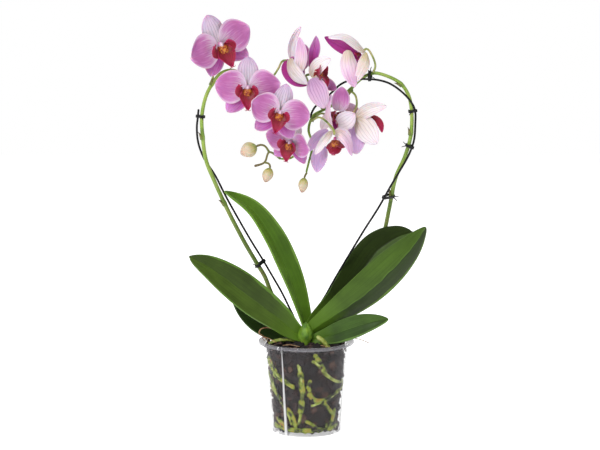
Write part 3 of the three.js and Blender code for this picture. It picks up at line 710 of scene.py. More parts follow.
def clear_moulded_polypropylene(settings):
    """Thin clear plastic, drawn down over a mould: smoky where the eye looks along the wall,
    with milky upright draw lines, one painted reflection that is a white upright streak, a
    breath of mist and a hard gloss."""
    material, tree, shader = new_material("clear_moulded_polypropylene", roughness=0.3, ior=1.49)
    place = add(tree, "TexCoord").outputs["Object"]
    axes = add(tree, "SeparateXYZ", {0: place})
    turn = add(tree, "Math", {0: axes.outputs["X"], 1: axes.outputs["Y"]}, operation="ARCTAN2")
    share = add(tree, "MapRange", {
        "Value": turn.outputs[0], "From Min": -math.pi, "From Max": math.pi,
    })
    line = add(tree, "ValToRGB", {"Fac": share.outputs[0]}, stops=DRAW_LINES)
    # How far a place is from the middle of the painted reflection, as a share of its half-width.
    height = axes.outputs["Z"]
    off = add(tree, "Math", {0: share.outputs[0], 1: REFLECTION_PLACE}, operation="SUBTRACT")
    off = add(tree, "Math", {0: off.outputs[0]}, operation="ABSOLUTE")
    width = add(tree, "MapRange", {
        "Value": height, "From Min": 0.0, "From Max": 105 * MM,
        "To Min": REFLECTION_WIDTHS[0], "To Max": REFLECTION_WIDTHS[1],
    })
    painted_reflection = add(tree, "Math", {0: off.outputs[0], 1: width.outputs[0]}, operation="DIVIDE")
    painted_reflection = add(tree, "MapRange", {
        "Value": painted_reflection.outputs[0], "From Min": 0.45, "From Max": 1.0,
        "To Min": REFLECTION_STRENGTH, "To Max": 0.0,
    })
    # The rim and the foot are milky, and mist has settled all over the inside.
    rim = add(tree, "MapRange", {
        "Value": height, "From Min": 110 * MM, "From Max": 114 * MM,
        "To Min": 0.0, "To Max": RIM_MILK,
    })
    foot = add(tree, "MapRange", {
        "Value": height, "From Min": 2 * MM, "From Max": 6 * MM,
        "To Min": FOOT_MILK, "To Max": 0.0,
    })
    mist = add(tree, "TexNoise", {"Vector": place, "Scale": 1 / (11 * MM), "Detail": 7.0})
    mist_share = add(tree, "MapRange", {
        "Value": mist.outputs["Fac"], "From Min": 0.42, "From Max": 0.75, "To Max": MIST_MILK,
    })
    # The wall looks denser where the eye looks along it.
    edge = add(tree, "LayerWeight", {"Blend": 0.5})
    grazing = add(tree, "Math", {0: edge.outputs["Facing"], 1: 3.0}, operation="POWER")
    solid = add(tree, "Math", {0: grazing.outputs[0], 1: EDGE_MILK, 2: FACE_MILK},
                operation="MULTIPLY_ADD")
    solid = add(tree, "Math", {0: solid.outputs[0], 1: mist_share.outputs[0]}, operation="ADD")
    # The draw lines, the painted reflection, the rim and the foot make the wall more solid.
    for more in (line.outputs["Color"], painted_reflection.outputs[0], rim.outputs[0], foot.outputs[0]):
        solid = add(tree, "Math", {0: solid.outputs[0], 1: more}, operation="ADD", use_clamp=True)
    # Where the painted reflection lies, the tint turns white.
    tint = add(tree, "Mix", {
        0: painted_reflection.outputs[0], 6: tuple(settings.plastic), 7: linear("#FFFFFF"),
    }, data_type="RGBA")
    cover(tree, shader, tint.outputs[2], mist.outputs["Fac"], 0.15, 0.25)
    clear = add(tree, "BsdfTransparent")
    body = add(tree, "MixShader", {0: solid.outputs[0], 1: clear.outputs[0], 2: shader.outputs[0]})
    # Clear plastic still mirrors the light, so the gloss lies over all of it.
    gloss = add(tree, "BsdfGlossy", {"Roughness": 0.05})
    rising = add(tree, "Math", {0: edge.outputs["Facing"], 1: 5.0}, operation="POWER")
    mirror = add(tree, "Math", {0: rising.outputs[0], 1: EDGE_MIRROR, 2: FACE_MIRROR},
                 operation="MULTIPLY_ADD")
    shown = add(tree, "MixShader", {0: mirror.outputs[0], 1: body.outputs[0], 2: gloss.outputs[0]})
    tree.links.new(shown.outputs[0], tree.nodes["Material Output"].inputs["Surface"])
    return material


def shredded_pine_bark(settings):
    """Pine bark broken into chips: dull, dark reddish brown, each chip a shade of its own,
    with corky layers along it."""
    material, tree, shader = new_material("shredded_pine_bark", roughness=0.85, ior=1.5)
    place = add(tree, "TexCoord").outputs["Object"]
    tone = add(tree, "Attribute", attribute_name="tone").outputs["Fac"]
    grain = add(tree, "TexNoise", {"Vector": place, "Scale": 1 / (3 * MM), "Detail": 8.0})
    shade = add(tree, "Math", {0: grain.outputs["Fac"], 1: 0.6, 2: tone}, operation="MULTIPLY_ADD")
    ramp = add(tree, "ValToRGB", {"Fac": shade.outputs[0]}, stops=[
        (0.25, "#080607"), (0.55, "#161012"), (0.85, settings.bark), (1.0, "#4C362E"),
    ])
    cover(tree, shader, ramp.outputs["Color"], grain.outputs["Fac"], 0.8, 0.8)
    return material


def living_root(settings):
    """The spongy silver-green skin of a living root: satin, paler in patches."""
    return patchy("living_root", [
        (0.34, "#48521F"), (0.5, settings.root), (0.68, "#AEB870"),
    ], patch=6, detail=5.0, rise=0.3, strength=0.4,
        roughness=0.5, ior=1.4, subsurface_weight=0.1, subsurface_scale=2 * MM)


def mossy_root():
    """Roots pressed flat behind the wall and the moss on them: yellow-green, olive and
    orange-brown in patches, damp and satin."""
    return patchy("mossy_root", [
        (0.4, "#1E1915"), (0.46, "#4E5A1E"), (0.53, "#7C8C2A"), (0.61, "#8E8832"), (0.72, "#8A5E20"),
    ], patch=9, detail=6.0, rise=0.5, strength=0.6, roughness=0.45, ior=1.4)


def dry_root():
    """A dried root, straw coloured to reddish brown and dull."""
    return patchy("dry_root", [
        (0.35, "#7A4A34"), (0.55, "#A98A62"), (0.7, "#C7B48E"),
    ], patch=8, detail=4.0, rise=0.2, strength=0.4, roughness=0.75, ior=1.4)


def crown_skin(settings):
    """The smooth young skin of the crown: bright yellow-green with darker leaf sheaths."""
    return patchy("crown_skin", [
        (0.32, "#41661A"), (0.5, settings.crown), (0.7, "#8FB044"),
    ], patch=12, detail=4.0, rise=0.4, strength=0.3,
        roughness=0.55, ior=1.4, subsurface_weight=0.15, subsurface_scale=3 * MM)


# Noise cells across and along a leaf and a tepal, for the leaf's fibres and the tepal's
# streaks. Both are about 1 mm apart, wider than real ones so that they show.
LEAF_FIBRES = (42.0, 3.0)
TEPAL_STREAKS = (34.0, 3.4, 1.0)
YOUNG_GREEN = "#5F8420"


def waxy_leaf(name, colours):
    """A thick waxy leaf: a soft broad sheen over green, with lengthwise fibres, a lighter
    midrib and margin, and paler young growth at the base. Its two halves are painted in
    two greens, painted light on one and painted shade on the other."""
    upper, lower, midrib, margin = colours
    material, tree, shader = new_material(
        name, roughness=0.45, ior=1.45, specular_ior_level=0.2, coat_weight=0.03,
        coat_roughness=0.3,
    )
    across = add(tree, "SeparateXYZ", {0: add(tree, "UVMap", uv_map="UVMap").outputs[0]})
    place = add(tree, "TexCoord").outputs["Object"]
    fibres = add(tree, "TexNoise", {
        "Vector": add(tree, "CombineXYZ", {
            axis: add(tree, "Math", {0: across.outputs[axis], 1: cells}, operation="MULTIPLY").outputs[0]
            for axis, cells in enumerate(LEAF_FIBRES)
        }).outputs[0], "Scale": 1.0, "Detail": 4.0,
    })
    mottle = add(tree, "TexNoise", {"Vector": place, "Scale": 1 / (28 * MM), "Detail": 3.0})
    blur = add(tree, "Math", {0: mottle.outputs["Fac"], 1: 0.14, 2: across.outputs["X"]},
               operation="MULTIPLY_ADD")
    # Painted light and shade: each half of the blade, either side of the midrib, gets its own green.
    lit_and_shaded_halves = add(tree, "ValToRGB", {"Fac": blur.outputs[0]}, stops=[
        (0.06, margin), (0.085, lower), (0.555, lower), (0.57, midrib), (0.585, upper),
        (1.055, upper), (1.08, margin),
    ])
    dark = add(tree, "MapRange", {
        "Value": fibres.outputs["Fac"], "From Min": 0.3, "From Max": 0.7, "To Min": 0.78, "To Max": 1.18,
    })
    shade = add(tree, "MapRange", {
        "Value": mottle.outputs["Fac"], "From Min": 0.3, "From Max": 0.7, "To Min": 0.8, "To Max": 1.15,
    })
    both = add(tree, "Math", {0: dark.outputs[0], 1: shade.outputs[0]}, operation="MULTIPLY")
    toned = add(tree, "VectorMath", {0: lit_and_shaded_halves.outputs["Color"], "Scale": both.outputs[0]},
                operation="SCALE")
    young = add(tree, "MapRange", {
        "Value": across.outputs["Y"], "From Min": 0.0, "From Max": 0.22, "To Min": 0.75, "To Max": 0.0,
    })
    shown = add(tree, "Mix", {
        0: young.outputs[0], 6: toned.outputs[0], 7: linear(YOUNG_GREEN),
    }, data_type="RGBA")
    cover(tree, shader, shown.outputs[2], fibres.outputs["Fac"], 0.25, 0.35)
    return material


def spike_skin(settings):
    """The smooth skin of a flower spike: yellow-green, paler in patches, flecked brown."""
    material, tree, shader = new_material(
        "spike_skin", roughness=0.42, ior=1.4, subsurface_weight=0.1, subsurface_scale=2 * MM,
    )
    place = add(tree, "TexCoord").outputs["Object"]
    patch = add(tree, "TexNoise", {"Vector": place, "Scale": 1 / (22 * MM), "Detail": 5.0})
    ramp = add(tree, "ValToRGB", {"Fac": patch.outputs["Fac"]}, stops=[
        (0.3, "#5A7428"), (0.48, settings.spike), (0.66, "#93A650"), (0.8, "#8E7E48"),
    ])
    height = add(tree, "SeparateXYZ", {0: place}).outputs["Z"]
    low = add(tree, "MapRange", {
        "Value": height, "From Min": 250 * MM, "From Max": 370 * MM, "To Min": 0.45, "To Max": 1.0,
    })
    toned = add(tree, "VectorMath", {0: ramp.outputs["Color"], "Scale": low.outputs[0]},
                operation="SCALE")
    cover(tree, shader, toned.outputs[0], patch.outputs["Fac"], 0.2, 0.3)
    return material


def flower_stalk_skin():
    """The skin of a flower's stalk: pale green turning cream and pinkish brown."""
    return patchy("flower_stalk_skin", [
        (0.32, "#5E7030"), (0.5, "#8C9650"), (0.64, "#AFA474"), (0.75, "#94704E"),
    ], patch=16, detail=3.0, rise=0.2, strength=0.3,
        roughness=0.45, ior=1.4, subsurface_weight=0.1, subsurface_scale=2 * MM)


def papery_bract():
    """A dry sheathing bract: brown and papery at its edge, green where it clasps."""
    material, tree, shader = new_material("papery_bract", roughness=0.6, ior=1.4)
    along = add(tree, "SeparateXYZ", {0: add(tree, "UVMap", uv_map="UVMap").outputs[0]})
    ramp = add(tree, "ValToRGB", {"Fac": along.outputs["Y"]}, stops=[
        (0.0, "#5C7230"), (0.45, "#6E6A38"), (1.0, "#5A4630"),
    ])
    place = add(tree, "TexCoord").outputs["Object"]
    grain = add(tree, "TexNoise", {"Vector": place, "Scale": 1 / (1.5 * MM), "Detail": 3.0})
    cover(tree, shader, ramp.outputs["Color"], grain.outputs["Fac"], 0.1, 0.4)
    return material


def coated_steel_wire(settings):
    """Steel wire dipped in black plastic: smooth and satin, faintly scuffed."""
    material, tree, shader = new_material(
        "coated_steel_wire", roughness=0.35, ior=1.49, specular_ior_level=0.2,
    )
    place = add(tree, "TexCoord").outputs["Object"]
    scuff = add(tree, "TexNoise", {"Vector": place, "Scale": 1 / (5 * MM), "Detail": 6.0})
    ramp = add(tree, "ValToRGB", {"Fac": scuff.outputs["Fac"]}, stops=[
        (0.45, settings.black), (0.8, "#1C1C1E"),
    ])
    rough = add(tree, "MapRange", {"Value": scuff.outputs["Fac"], "To Min": 0.25, "To Max": 0.5})
    tree.links.new(ramp.outputs["Color"], shader.inputs["Base Color"])
    tree.links.new(rough.outputs[0], shader.inputs["Roughness"])
    return material


def moulded_clip_plastic(settings):
    """Moulded black plastic of a clip: matt, with a mould texture that is drawn coarser than
    the real one so that it shows."""
    return patchy("moulded_clip_plastic", [
        (0.4, settings.black), (0.8, "#2A2A2C"),
    ], patch=0.8, detail=3.0, rise=0.08, strength=0.4,
        roughness=0.5, ior=1.49, specular_ior_level=0.25)


def petal_pattern(tree, veins):
    """Sockets for a tepal's pattern: how near its margin, how far along it, lengthwise
    streaks, and thin wandering veins, of which there are so many across it. They are fewer
    than on a real tepal so that they show."""
    uv = add(tree, "UVMap", uv_map="UVMap").outputs[0]
    axes = add(tree, "SeparateXYZ", {0: uv})
    across = add(tree, "Math", {0: axes.outputs["X"], 1: 2.0, 2: -1.0}, operation="MULTIPLY_ADD")
    across = add(tree, "Math", {0: across.outputs[0]}, operation="ABSOLUTE")
    place = add(tree, "TexCoord").outputs["Object"]
    wander = add(tree, "TexNoise", {"Vector": place, "Scale": 1 / (7 * MM), "Detail": 3.0})
    streaks = add(tree, "TexNoise", {
        "Vector": add(tree, "VectorMath", {0: uv, 1: TEPAL_STREAKS}, operation="MULTIPLY").outputs[0],
        "Scale": 1.0, "Detail": 4.0, "Distortion": 0.4,
    })
    bent = add(tree, "Math", {0: wander.outputs["Fac"], 1: 0.09, 2: axes.outputs["X"]},
               operation="MULTIPLY_ADD")
    many = add(tree, "Math", {0: bent.outputs[0], 1: float(veins)}, operation="MULTIPLY")
    fold = add(tree, "Math", {0: many.outputs[0], 1: 0.5}, operation="PINGPONG")
    thin = add(tree, "MapRange", {
        "Value": fold.outputs[0], "From Min": 0.0, "From Max": 0.13, "To Min": 1.0, "To Max": 0.0,
    })
    return across.outputs[0], axes.outputs["Y"], streaks.outputs["Fac"], thin.outputs[0]


def petal_skin(name, stops, margin, margin_from, veins, vein_shade, vein_strength,
               relief=0.175):
    """A tepal's face: satin and a little translucent, coloured along its length by stops,
    with lengthwise streaks, thin veins and a margin of another colour."""
    material, tree, shader = new_material(
        name, roughness=0.5, ior=1.4, subsurface_weight=0.25, subsurface_scale=1.5 * MM,
        sheen_weight=0.15, sheen_roughness=0.4,
    )
    across, along, streaks, thin = petal_pattern(tree, veins)
    waved = add(tree, "Math", {0: streaks, 1: 0.7, 2: along}, operation="MULTIPLY_ADD")
    waved = add(tree, "Math", {0: waved.outputs[0], 1: 0.35}, operation="SUBTRACT")
    body = add(tree, "ValToRGB", {"Fac": waved.outputs[0]}, stops=stops)
    ends = add(tree, "Math", {0: along, 1: across}, operation="MAXIMUM")
    edge = add(tree, "MapRange", {
        "Value": ends.outputs[0], "From Min": margin_from - 0.05, "From Max": 1.0, "To Max": 0.7,
    }, interpolation_type="SMOOTHSTEP")
    vein = add(tree, "Math", {0: thin, 1: vein_strength}, operation="MULTIPLY")
    veined = add(tree, "Mix", {
        0: vein.outputs[0], 6: body.outputs["Color"], 7: linear(vein_shade),
    }, data_type="RGBA")
    shown = add(tree, "Mix", {
        0: edge.outputs[0], 6: veined.outputs[2], 7: margin,
    }, data_type="RGBA")
    cover(tree, shader, shown.outputs[2], thin, 0.15, relief)
    return material


def flower_materials(settings):
    """The materials of the flowers by name."""
    pale = tuple(settings.pale)
    back = tuple(settings.back)
    petal = tuple(settings.petal)
    deep = tuple(settings.petal_deep)
    return {
        "petal": petal_skin("petal_face", [
            (0.08, pale), (0.3, petal), (0.55, deep), (0.78, petal), (0.95, "#CF9CC6"),
        ], pale, 0.84, 15, "#93508A", 0.35),
        "back_sepal": petal_skin("back_sepal_face", [
            (0.05, "#D0C8D2"), (0.45, "#C4B5C8"), (0.8, "#BCA0BE"), (1.0, "#B890B8"),
        ], linear("#C29ABF"), 0.8, 8, "#705A80", 0.75),
        "side_sepal": petal_skin("side_sepal_face", [
            (0.1, "#A0207A"), (0.4, "#A8489A"), (0.7, "#BC78B4"), (1.0, "#D2A4CC"),
        ], pale, 0.84, 8, "#83287A", 0.35),
        "back": petal_skin("tepal_back", [
            (0.06, "#BDAE7C"), (0.25, "#DCCFC0"), (0.6, back), (1.0, "#E4C8DC"),
        ], linear("#E2C4DC"), 0.8, 9, "#B583A2", 0.45),
        "lip": petal_skin("lip_face", [
            (0.05, "#8A4218"), (0.2, "#700A1A"), (0.4, settings.lip), (0.7, "#A00A44"),
            (1.0, "#B8125E"),
        ], linear("#A81252"), 0.88, 7, "#4A0414", 0.6, 0.28),
        "callus": callus_skin(),
        "pale": petal_skin("pale_tepal_face", [
            (0.05, "#D6CDD2"), (0.5, "#E0D6DE"), (1.0, "#DDC4DA"),
        ], pale, 0.8, 6, "#A78BA6", 0.5),
        "white": petal_skin("white_tepal_back", [
            (0.04, "#B7A58C"), (0.2, "#D6CAC4"), (0.5, "#E2DADD"), (1.0, "#E0D2DC"),
        ], linear("#D8C6D6"), 0.8, 7, "#A08898", 0.6),
        "blush": petal_skin("blush_tepal_back", [
            (0.05, "#C8B8A0"), (0.3, "#DCC6D2"), (0.6, "#CDA2C4"), (1.0, "#D4B0D0"),
        ], linear("#D9BCD6"), 0.75, 6, "#9A6C98", 0.5),
        # The deep face paints a tepal's inner face in shade: magenta darkened towards the tip by painted
        # shade.
        "deep": petal_skin("shaded_tepal_face", [
            (0.05, "#A0207A"), (0.5, "#A8348C"), (1.0, "#7E2468"),
        ], linear("#A65A9A"), 0.9, 11, "#6A1A5A", 0.5),
        "veined": petal_skin("veined_tepal_face", [
            (0.05, "#B48CB4"), (0.3, "#CDA8CA"), (0.7, "#D6BAD4"), (1.0, "#DEC8DC"),
        ], pale, 0.8, 7, "#80468A", 0.7),
        "lavender": petal_skin("lavender_tepal_face", [
            (0.05, "#B89CC4"), (0.4, "#BF9CC8"), (0.8, "#C8A8D2"), (1.0, "#D2BCDA"),
        ], pale, 0.82, 6, "#9A78AE", 0.5),
        "column": column_skin(),
    }


def callus_skin():
    """The warty orange callus in the throat of a lip, spotted dark red. Its warts are drawn
    larger than real ones so that they show."""
    material, tree, shader = new_material(
        "callus_skin", roughness=0.45, ior=1.4, subsurface_weight=0.1, subsurface_scale=1 * MM,
    )
    place = add(tree, "TexCoord").outputs["Object"]
    cells = add(tree, "TexVoronoi", {"Vector": place, "Scale": 1 / (2.2 * MM)})
    ramp = add(tree, "ValToRGB", {"Fac": cells.outputs["Distance"]}, stops=[
        (0.2, "#5A0A14"), (0.38, "#8A2A18"), (0.55, "#A8581C"), (0.85, "#BC8030"),
    ])
    cover(tree, shader, ramp.outputs["Color"], cells.outputs["Distance"], 0.3, 0.5)
    return material


def column_skin():
    """The fleshy column: white, flushed pink to magenta towards its foot."""
    material, tree, shader = new_material(
        "column_skin", roughness=0.38, ior=1.4, subsurface_weight=0.2, subsurface_scale=1.5 * MM,
    )
    along = add(tree, "SeparateXYZ", {0: add(tree, "UVMap", uv_map="UVMap").outputs[0]})
    place = add(tree, "TexCoord").outputs["Object"]
    patch = add(tree, "TexNoise", {"Vector": place, "Scale": 1 / (4 * MM), "Detail": 3.0})
    flush = add(tree, "Math", {0: patch.outputs["Fac"], 1: 0.5, 2: along.outputs["Y"]},
                operation="MULTIPLY_ADD")
    ramp = add(tree, "ValToRGB", {"Fac": flush.outputs[0]}, stops=[
        (0.35, "#A0246A"), (0.65, "#BC6CA2"), (0.9, "#CFA2C2"), (1.1, "#D8BED0"),
    ])
    cover(tree, shader, ramp.outputs["Color"], patch.outputs["Fac"], 0.15, 0.3)
    return material


def bud_skin(settings):
    """The closed sepals of a bud: cream, greener at the stalk, with faint pinkish veins."""
    return petal_skin("bud_skin", [
        (0.05, "#7E8A3C"), (0.2, "#AFA868"), (0.5, settings.bud), (0.8, "#C8AE98"),
        (1.0, "#A98478"),
    ], tuple(settings.bud), 0.99, 18, "#B98E84", 0.3)


# ---------------------------------------------------------------- pot, bark and roots


def pot_radius(settings, height):
    """The outside radius of the pot's wall at a height, in millimetres."""
    share = height * MM / POT_BOX[1].z
    return (settings.foot_radius + (settings.neck_radius - settings.foot_radius) * share) / MM


def pot_profile(settings):
    """The pot's section: the floor, the foot ring, the wall, the rolled rim and back down."""
    rim, height = POT_BOX[1].x / MM, POT_BOX[1].z / MM
    wall, depth = settings.wall / MM, settings.rim_depth / MM
    floor = settings.floor_height / MM
    under = height - depth

    def outside(z):
        return pot_radius(settings, z)

    def inside(z):
        return pot_radius(settings, z) - wall

    foot = [(0, floor - wall), (20, floor - wall), (inside(0) - 5, floor - wall), (inside(0) - 1.4, 0.6),
            (inside(0) - 0.4, 0.05), (outside(0) - 0.6, 0), (outside(0), 0.6)]
    wall_rows = [(outside(z), z) for z in range(6, round(under) - 6, 6)]
    ridge = [(outside(under - 6), under - 6), (outside(under) + 0.2, under - 4.6),
             (outside(under) + 1.1, under - 3.8), (outside(under) + 1.1, under - 3),
             (outside(under) + 0.3, under - 2.2)]
    turn_out = [(outside(under) + 0.4, under - 0.6), (rim - 2.5, under - 0.2), (rim - 1.2, under - 0.6),
                (rim - 0.3, under - 0.1), (rim, under + 0.8), (rim, height - 1.4),
                (rim - 0.4, height - 0.5), (rim - 1.3, height - 0.1)]
    turn_in = [(rim - 4, height - 0.5), (inside(height) + 0.8, height - 1.2),
               (inside(height - 3), height - 3)]
    inner = [(inside(z), z) for z in range(round(height) - 6, round(floor) + 3, -6)]
    bottom = [(inside(floor) - 0.2, floor + 1), (inside(floor) - 1.2, floor), (20, floor), (0, floor)]
    return foot + wall_rows + ridge + turn_out + turn_in + inner + bottom


def cut_foot(pot, settings):
    """Opens the three notches of the foot and the drain holes of the floor."""
    cutters = []
    for turn in NOTCH_TURNS:
        select_only()
        bpy.ops.mesh.primitive_cube_add(size=1)
        notch = bpy.context.object
        notch.scale = [side * MM for side in NOTCH_SIZE]
        notch.location = (0, -settings.foot_radius, 0)
        cutters.append((notch, turn))
    for turn in range(0, 360, 360 // DRAIN_HOLES):
        select_only()
        bpy.ops.mesh.primitive_cylinder_add(
            vertices=24, radius=DRAIN_RADIUS * MM, depth=DRAIN_DEPTH * MM,
        )
        hole = bpy.context.object
        hole.location = (0, -DRAIN_REACH * MM, settings.floor_height)
        cutters.append((hole, turn))
    for cutter, turn in cutters:
        bpy.context.view_layer.update()
        cutter.matrix_world = Matrix.Rotation(math.radians(turn), 4, "Z") @ cutter.matrix_world
        select_only(cutter)
        bpy.ops.object.transform_apply(location=True, rotation=True, scale=True)
        apply_modifier(pot, "BOOLEAN", object=cutter, operation="DIFFERENCE", solver="EXACT")
        bpy.data.objects.remove(cutter)


def flutes(turn, height):
    """How far the pot's thin wall stands in or out of round, in millimetres."""
    place = Vector((math.cos(turn), math.sin(turn), height / 40))
    return 0.12 * math.sin(18 * turn) + 0.25 * noise.noise(place)


def bark_chip(rng, size):
    """One broken chip of bark: a flat block with bevelled, uneven corners."""
    select_only()
    bpy.ops.mesh.primitive_cube_add(size=1)
    chip = bpy.context.object
    chip.scale = [s * MM for s in size]
    bpy.ops.object.transform_apply(location=False, rotation=False, scale=True)
    for vertex in chip.data.vertices:
        vertex.co *= rng.uniform(0.65, 1.15)
    apply_modifier(chip, "BEVEL", width=min(size) * 0.22 * MM, segments=1)
    return chip


def chip_places(settings, rng):
    """Places for the chips: against the wall, each with its turn, and heaped on the top."""
    top = settings.bark_top / MM
    places = []
    for ring in range(CHIP_RINGS):
        height = LOWEST_RING + ring * (top - LOWEST_RING) / (CHIP_RINGS - 1)
        for index in range(CHIPS_IN_RING):
            turn = 2 * math.pi * (index + rng.uniform(-0.4, 0.4)) / CHIPS_IN_RING
            radius = pot_radius(settings, height) - settings.wall / MM - rng.uniform(2.6, 5.0)
            flat = Vector((math.sin(turn) * radius, -math.cos(turn) * radius, height + rng.uniform(-3, 3)))
            places.append((flat, turn))
    for _ in range(LOOSE_CHIPS):
        turn = rng.uniform(0, 2 * math.pi)
        radius = HEAP_RADIUS * math.sqrt(rng.uniform(0.02, 1))
        rise = HEAP_HEIGHT * (1 - radius / HEAP_RADIUS) + rng.uniform(-1, 3)
        places.append((Vector((math.sin(turn) * radius, -math.cos(turn) * radius, top + rise)), None))
    return places


def make_bark(settings, material):
    """A core of packed bark with loose chips round it and on it, each in its own shade."""
    rng = random.Random(7)
    top = settings.bark_top / MM

    def inner(z):
        return pot_radius(settings, z) - settings.wall / MM - CORE_GAP

    def lump(turn, z):
        return 1.6 * noise.noise(Vector((math.sin(turn) * 6, math.cos(turn) * 6, z / 7)))

    profile = [(0, CORE_BOTTOM), (20, CORE_BOTTOM), (inner(6) - 2, CORE_BOTTOM)]
    profile += [(inner(z), z) for z in range(8, round(top) - 3, 4)]
    profile += [(inner(top) - 3, top - 1), (30, top + 2), (15, top + 5), (0, top + 6)]
    core = turned("bark_core", profile, 90, wobble=lump)
    patterns = [bark_chip(rng, (rng.uniform(7, 17), rng.uniform(5, 10), rng.uniform(2, 3.6)))
                for _ in range(CHIP_PATTERNS)]
    pieces = [core]
    tones = [(len(core.data.vertices), 0.3)]
    for place, turn in chip_places(settings, rng):
        pattern = rng.choice(patterns)
        chip = pattern.copy()
        chip.data = pattern.data.copy()
        bpy.context.collection.objects.link(chip)
        spin = Matrix.Rotation(rng.uniform(0, 2 * math.pi), 4, "Z")
        if turn is None:
            pose = Matrix.Rotation(rng.uniform(-0.6, 0.6), 4, "X") @ spin
        else:
            upright = Matrix.Rotation(math.pi / 2 + rng.uniform(-0.35, 0.35), 4, "X")
            pose = Matrix.Rotation(turn, 4, "Z") @ upright @ spin
        chip.data.transform(Matrix.Translation(place * MM) @ pose)
        pieces.append(chip)
        tones.append((len(chip.data.vertices), rng.uniform(0.1, 0.75)))
    for pattern in patterns:
        bpy.data.objects.remove(pattern)
    bark = join("bark_bed", pieces)
    tone = bark.data.attributes.new("tone", "FLOAT", "POINT")
    tone.data.foreach_set("value", [value for count, value in tones for _ in range(count)])
    finish(paint(bark, material), "bark", "bark", angle=35)


class ORCHID_OT_pot(bpy.types.Operator):
    """Models the clear pot, with its rolled rim, foot notches and drain holes"""

    bl_idname = "orchid.pot"
    bl_label = "Pot"

    def execute(self, context):
        settings = context.scene.orchid_pot
        pot = turned("clear_pot", pot_profile(settings), 120, wobble=flutes)
        cut_foot(pot, settings)
        finish(paint(pot, clear_moulded_polypropylene(settings)), "pot", "pot", angle=40)
        return {"FINISHED"}


class ORCHID_OT_bark(bpy.types.Operator):
    """Models the bed of bark chips in the pot"""

    bl_idname = "orchid.bark"
    bl_label = "Bark"

    def execute(self, context):
        settings = context.scene.orchid_pot
        make_bark(settings, shredded_pine_bark(settings))
        return {"FINISHED"}


def wall_path(settings, stations, radius):
    """A path just inside the pot's wall through (degrees, height) stations."""
    flat = Path([(angle, z, 0) for angle, z in stations])
    points = []
    for i in range(13):
        angle, z, _ = flat.at(i / 12)
        reach = pot_radius(settings, z) - settings.wall / MM - ROOT_GAP - radius
        turn = math.radians(angle)
        points.append((reach * math.sin(turn), -reach * math.cos(turn), z))
    return Path(points)


def press_to_wall(piece, settings, share):
    """Flattens a root against the inside of the pot's wall, to a share of its thickness."""
    for vertex in piece.data.vertices:
        x, y, z = vertex.co / MM
        reach = math.hypot(x, y)
        middle = pot_radius(settings, z) - settings.wall / MM - ROOT_GAP - PATCH_HALF_DEPTH
        flat = middle + (reach - middle) * share
        vertex.co.x *= flat / reach
        vertex.co.y *= flat / reach


def knobbly(radius, seed, amount=0.12):
    """The radius of a root along its length, which swells and thins."""
    return lambda t: radius * (1 + amount * noise.noise(Vector((t * 9, seed, 0))) - 0.25 * t ** 4)


class ORCHID_OT_roots(bpy.types.Operator):
    """Models the roots against the pot's wall and above its rim"""

    bl_idname = "orchid.roots"
    bl_label = "Roots"

    def execute(self, context):
        pot = context.scene.orchid_pot
        materials = {"root": living_root(context.scene.orchid_plant), "dry_root": dry_root()}
        for index, (node, stations) in enumerate(POT_ROOTS.items()):
            path = wall_path(pot, stations, POT_ROOT_RADIUS)
            piece = rod(node + "_skin", path, knobbly(POT_ROOT_RADIUS, index), 14, 2.0)
            finish(paint(piece, materials["root"]), "root", node)
        for index, (node, root) in enumerate(AIR_ROOTS.items()):
            piece = rod(node + "_skin", Path(root["path"]), knobbly(root["radius"], index + 9), 16, 1.5)
            finish(paint(piece, materials[root["slot"]]), root["slot"], node)
        patches = []
        for index, (stations, radius) in enumerate(WALL_PATCHES):
            path = wall_path(pot, stations, PATCH_HALF_DEPTH)
            patch = rod("wall_patch", path, knobbly(radius, index + 20, 0.5), 14, 1.5)
            press_to_wall(patch, pot, PATCH_HALF_DEPTH / radius)
            patches.append(patch)
        finish(paint(join("wall_patches", patches), mossy_root()), "root")
        straws = [rod("straw", Path(points), lambda t: STRAW_RADIUS, 8, 2.0) for points in STRAWS]
        finish(paint(join("straws", straws), materials["dry_root"]), "dry_root")
        return {"FINISHED"}


# ---------------------------------------------------------------- crown and leaves


def crown_outline():
    """The crown's section, swelling where the lowest leaves clasp it."""
    low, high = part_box("crown")
    bottom, top = low.z / MM, high.z / MM
    radius = (high.x - low.x) / 2 / MM
    rows = 22
    side = []
    for i in range(1, rows):
        u = i / rows
        swell = 0.45 + 0.62 * math.exp(-((u - 0.72) / 0.18) ** 2)
        closing = min(1.0, (1 - u) / 0.12) ** 0.5
        side.append((radius * 1.12 * swell * closing, bottom + (top - bottom) * u))
    return [(0, bottom), *side, (0, top)]


class ORCHID_OT_crown(bpy.types.Operator):
    """Models the swollen crown that everything grows from"""

    bl_idname = "orchid.crown"
    bl_label = "Crown"

    def execute(self, context):
        low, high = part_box("crown")
        middle = ((low.x + high.x) / 2 / MM, (low.y + high.y) / 2 / MM, 0)

        def ribs(turn, z):
            return 0.7 * math.sin(3 * turn + z / 9) + 0.4 * math.sin(7 * turn)

        crown = turned("crown_skin", crown_outline(), 48, shift=middle, wobble=ribs)
        finish(paint(crown, crown_skin(context.scene.orchid_plant)), "crown", "crown")
        return {"FINISHED"}


def leaf_outline(t, fullest):
    """Half-width along a leaf: a clasping base, full beyond the middle, a blunt tip."""
    swell = math.log(0.5) / math.log(fullest)
    return 0.28 * (1 - t) ** 3 + math.sin(math.pi * min(t ** swell, 1)) ** 0.64


def leaf_axes(along, lean):
    """The directions across a leaf, towards its upper edge, and out of its front face."""
    side = Vector((-along.z, 0, along.x)).normalized()
    if side.z < 0:
        side.negate()
    side = side * math.cos(lean) + Vector((0, math.sin(lean), 0))
    side = (side - along * side.dot(along)).normalized()
    front = side.cross(along).normalized()
    if front.y > 0:
        front.negate()
    return side, front


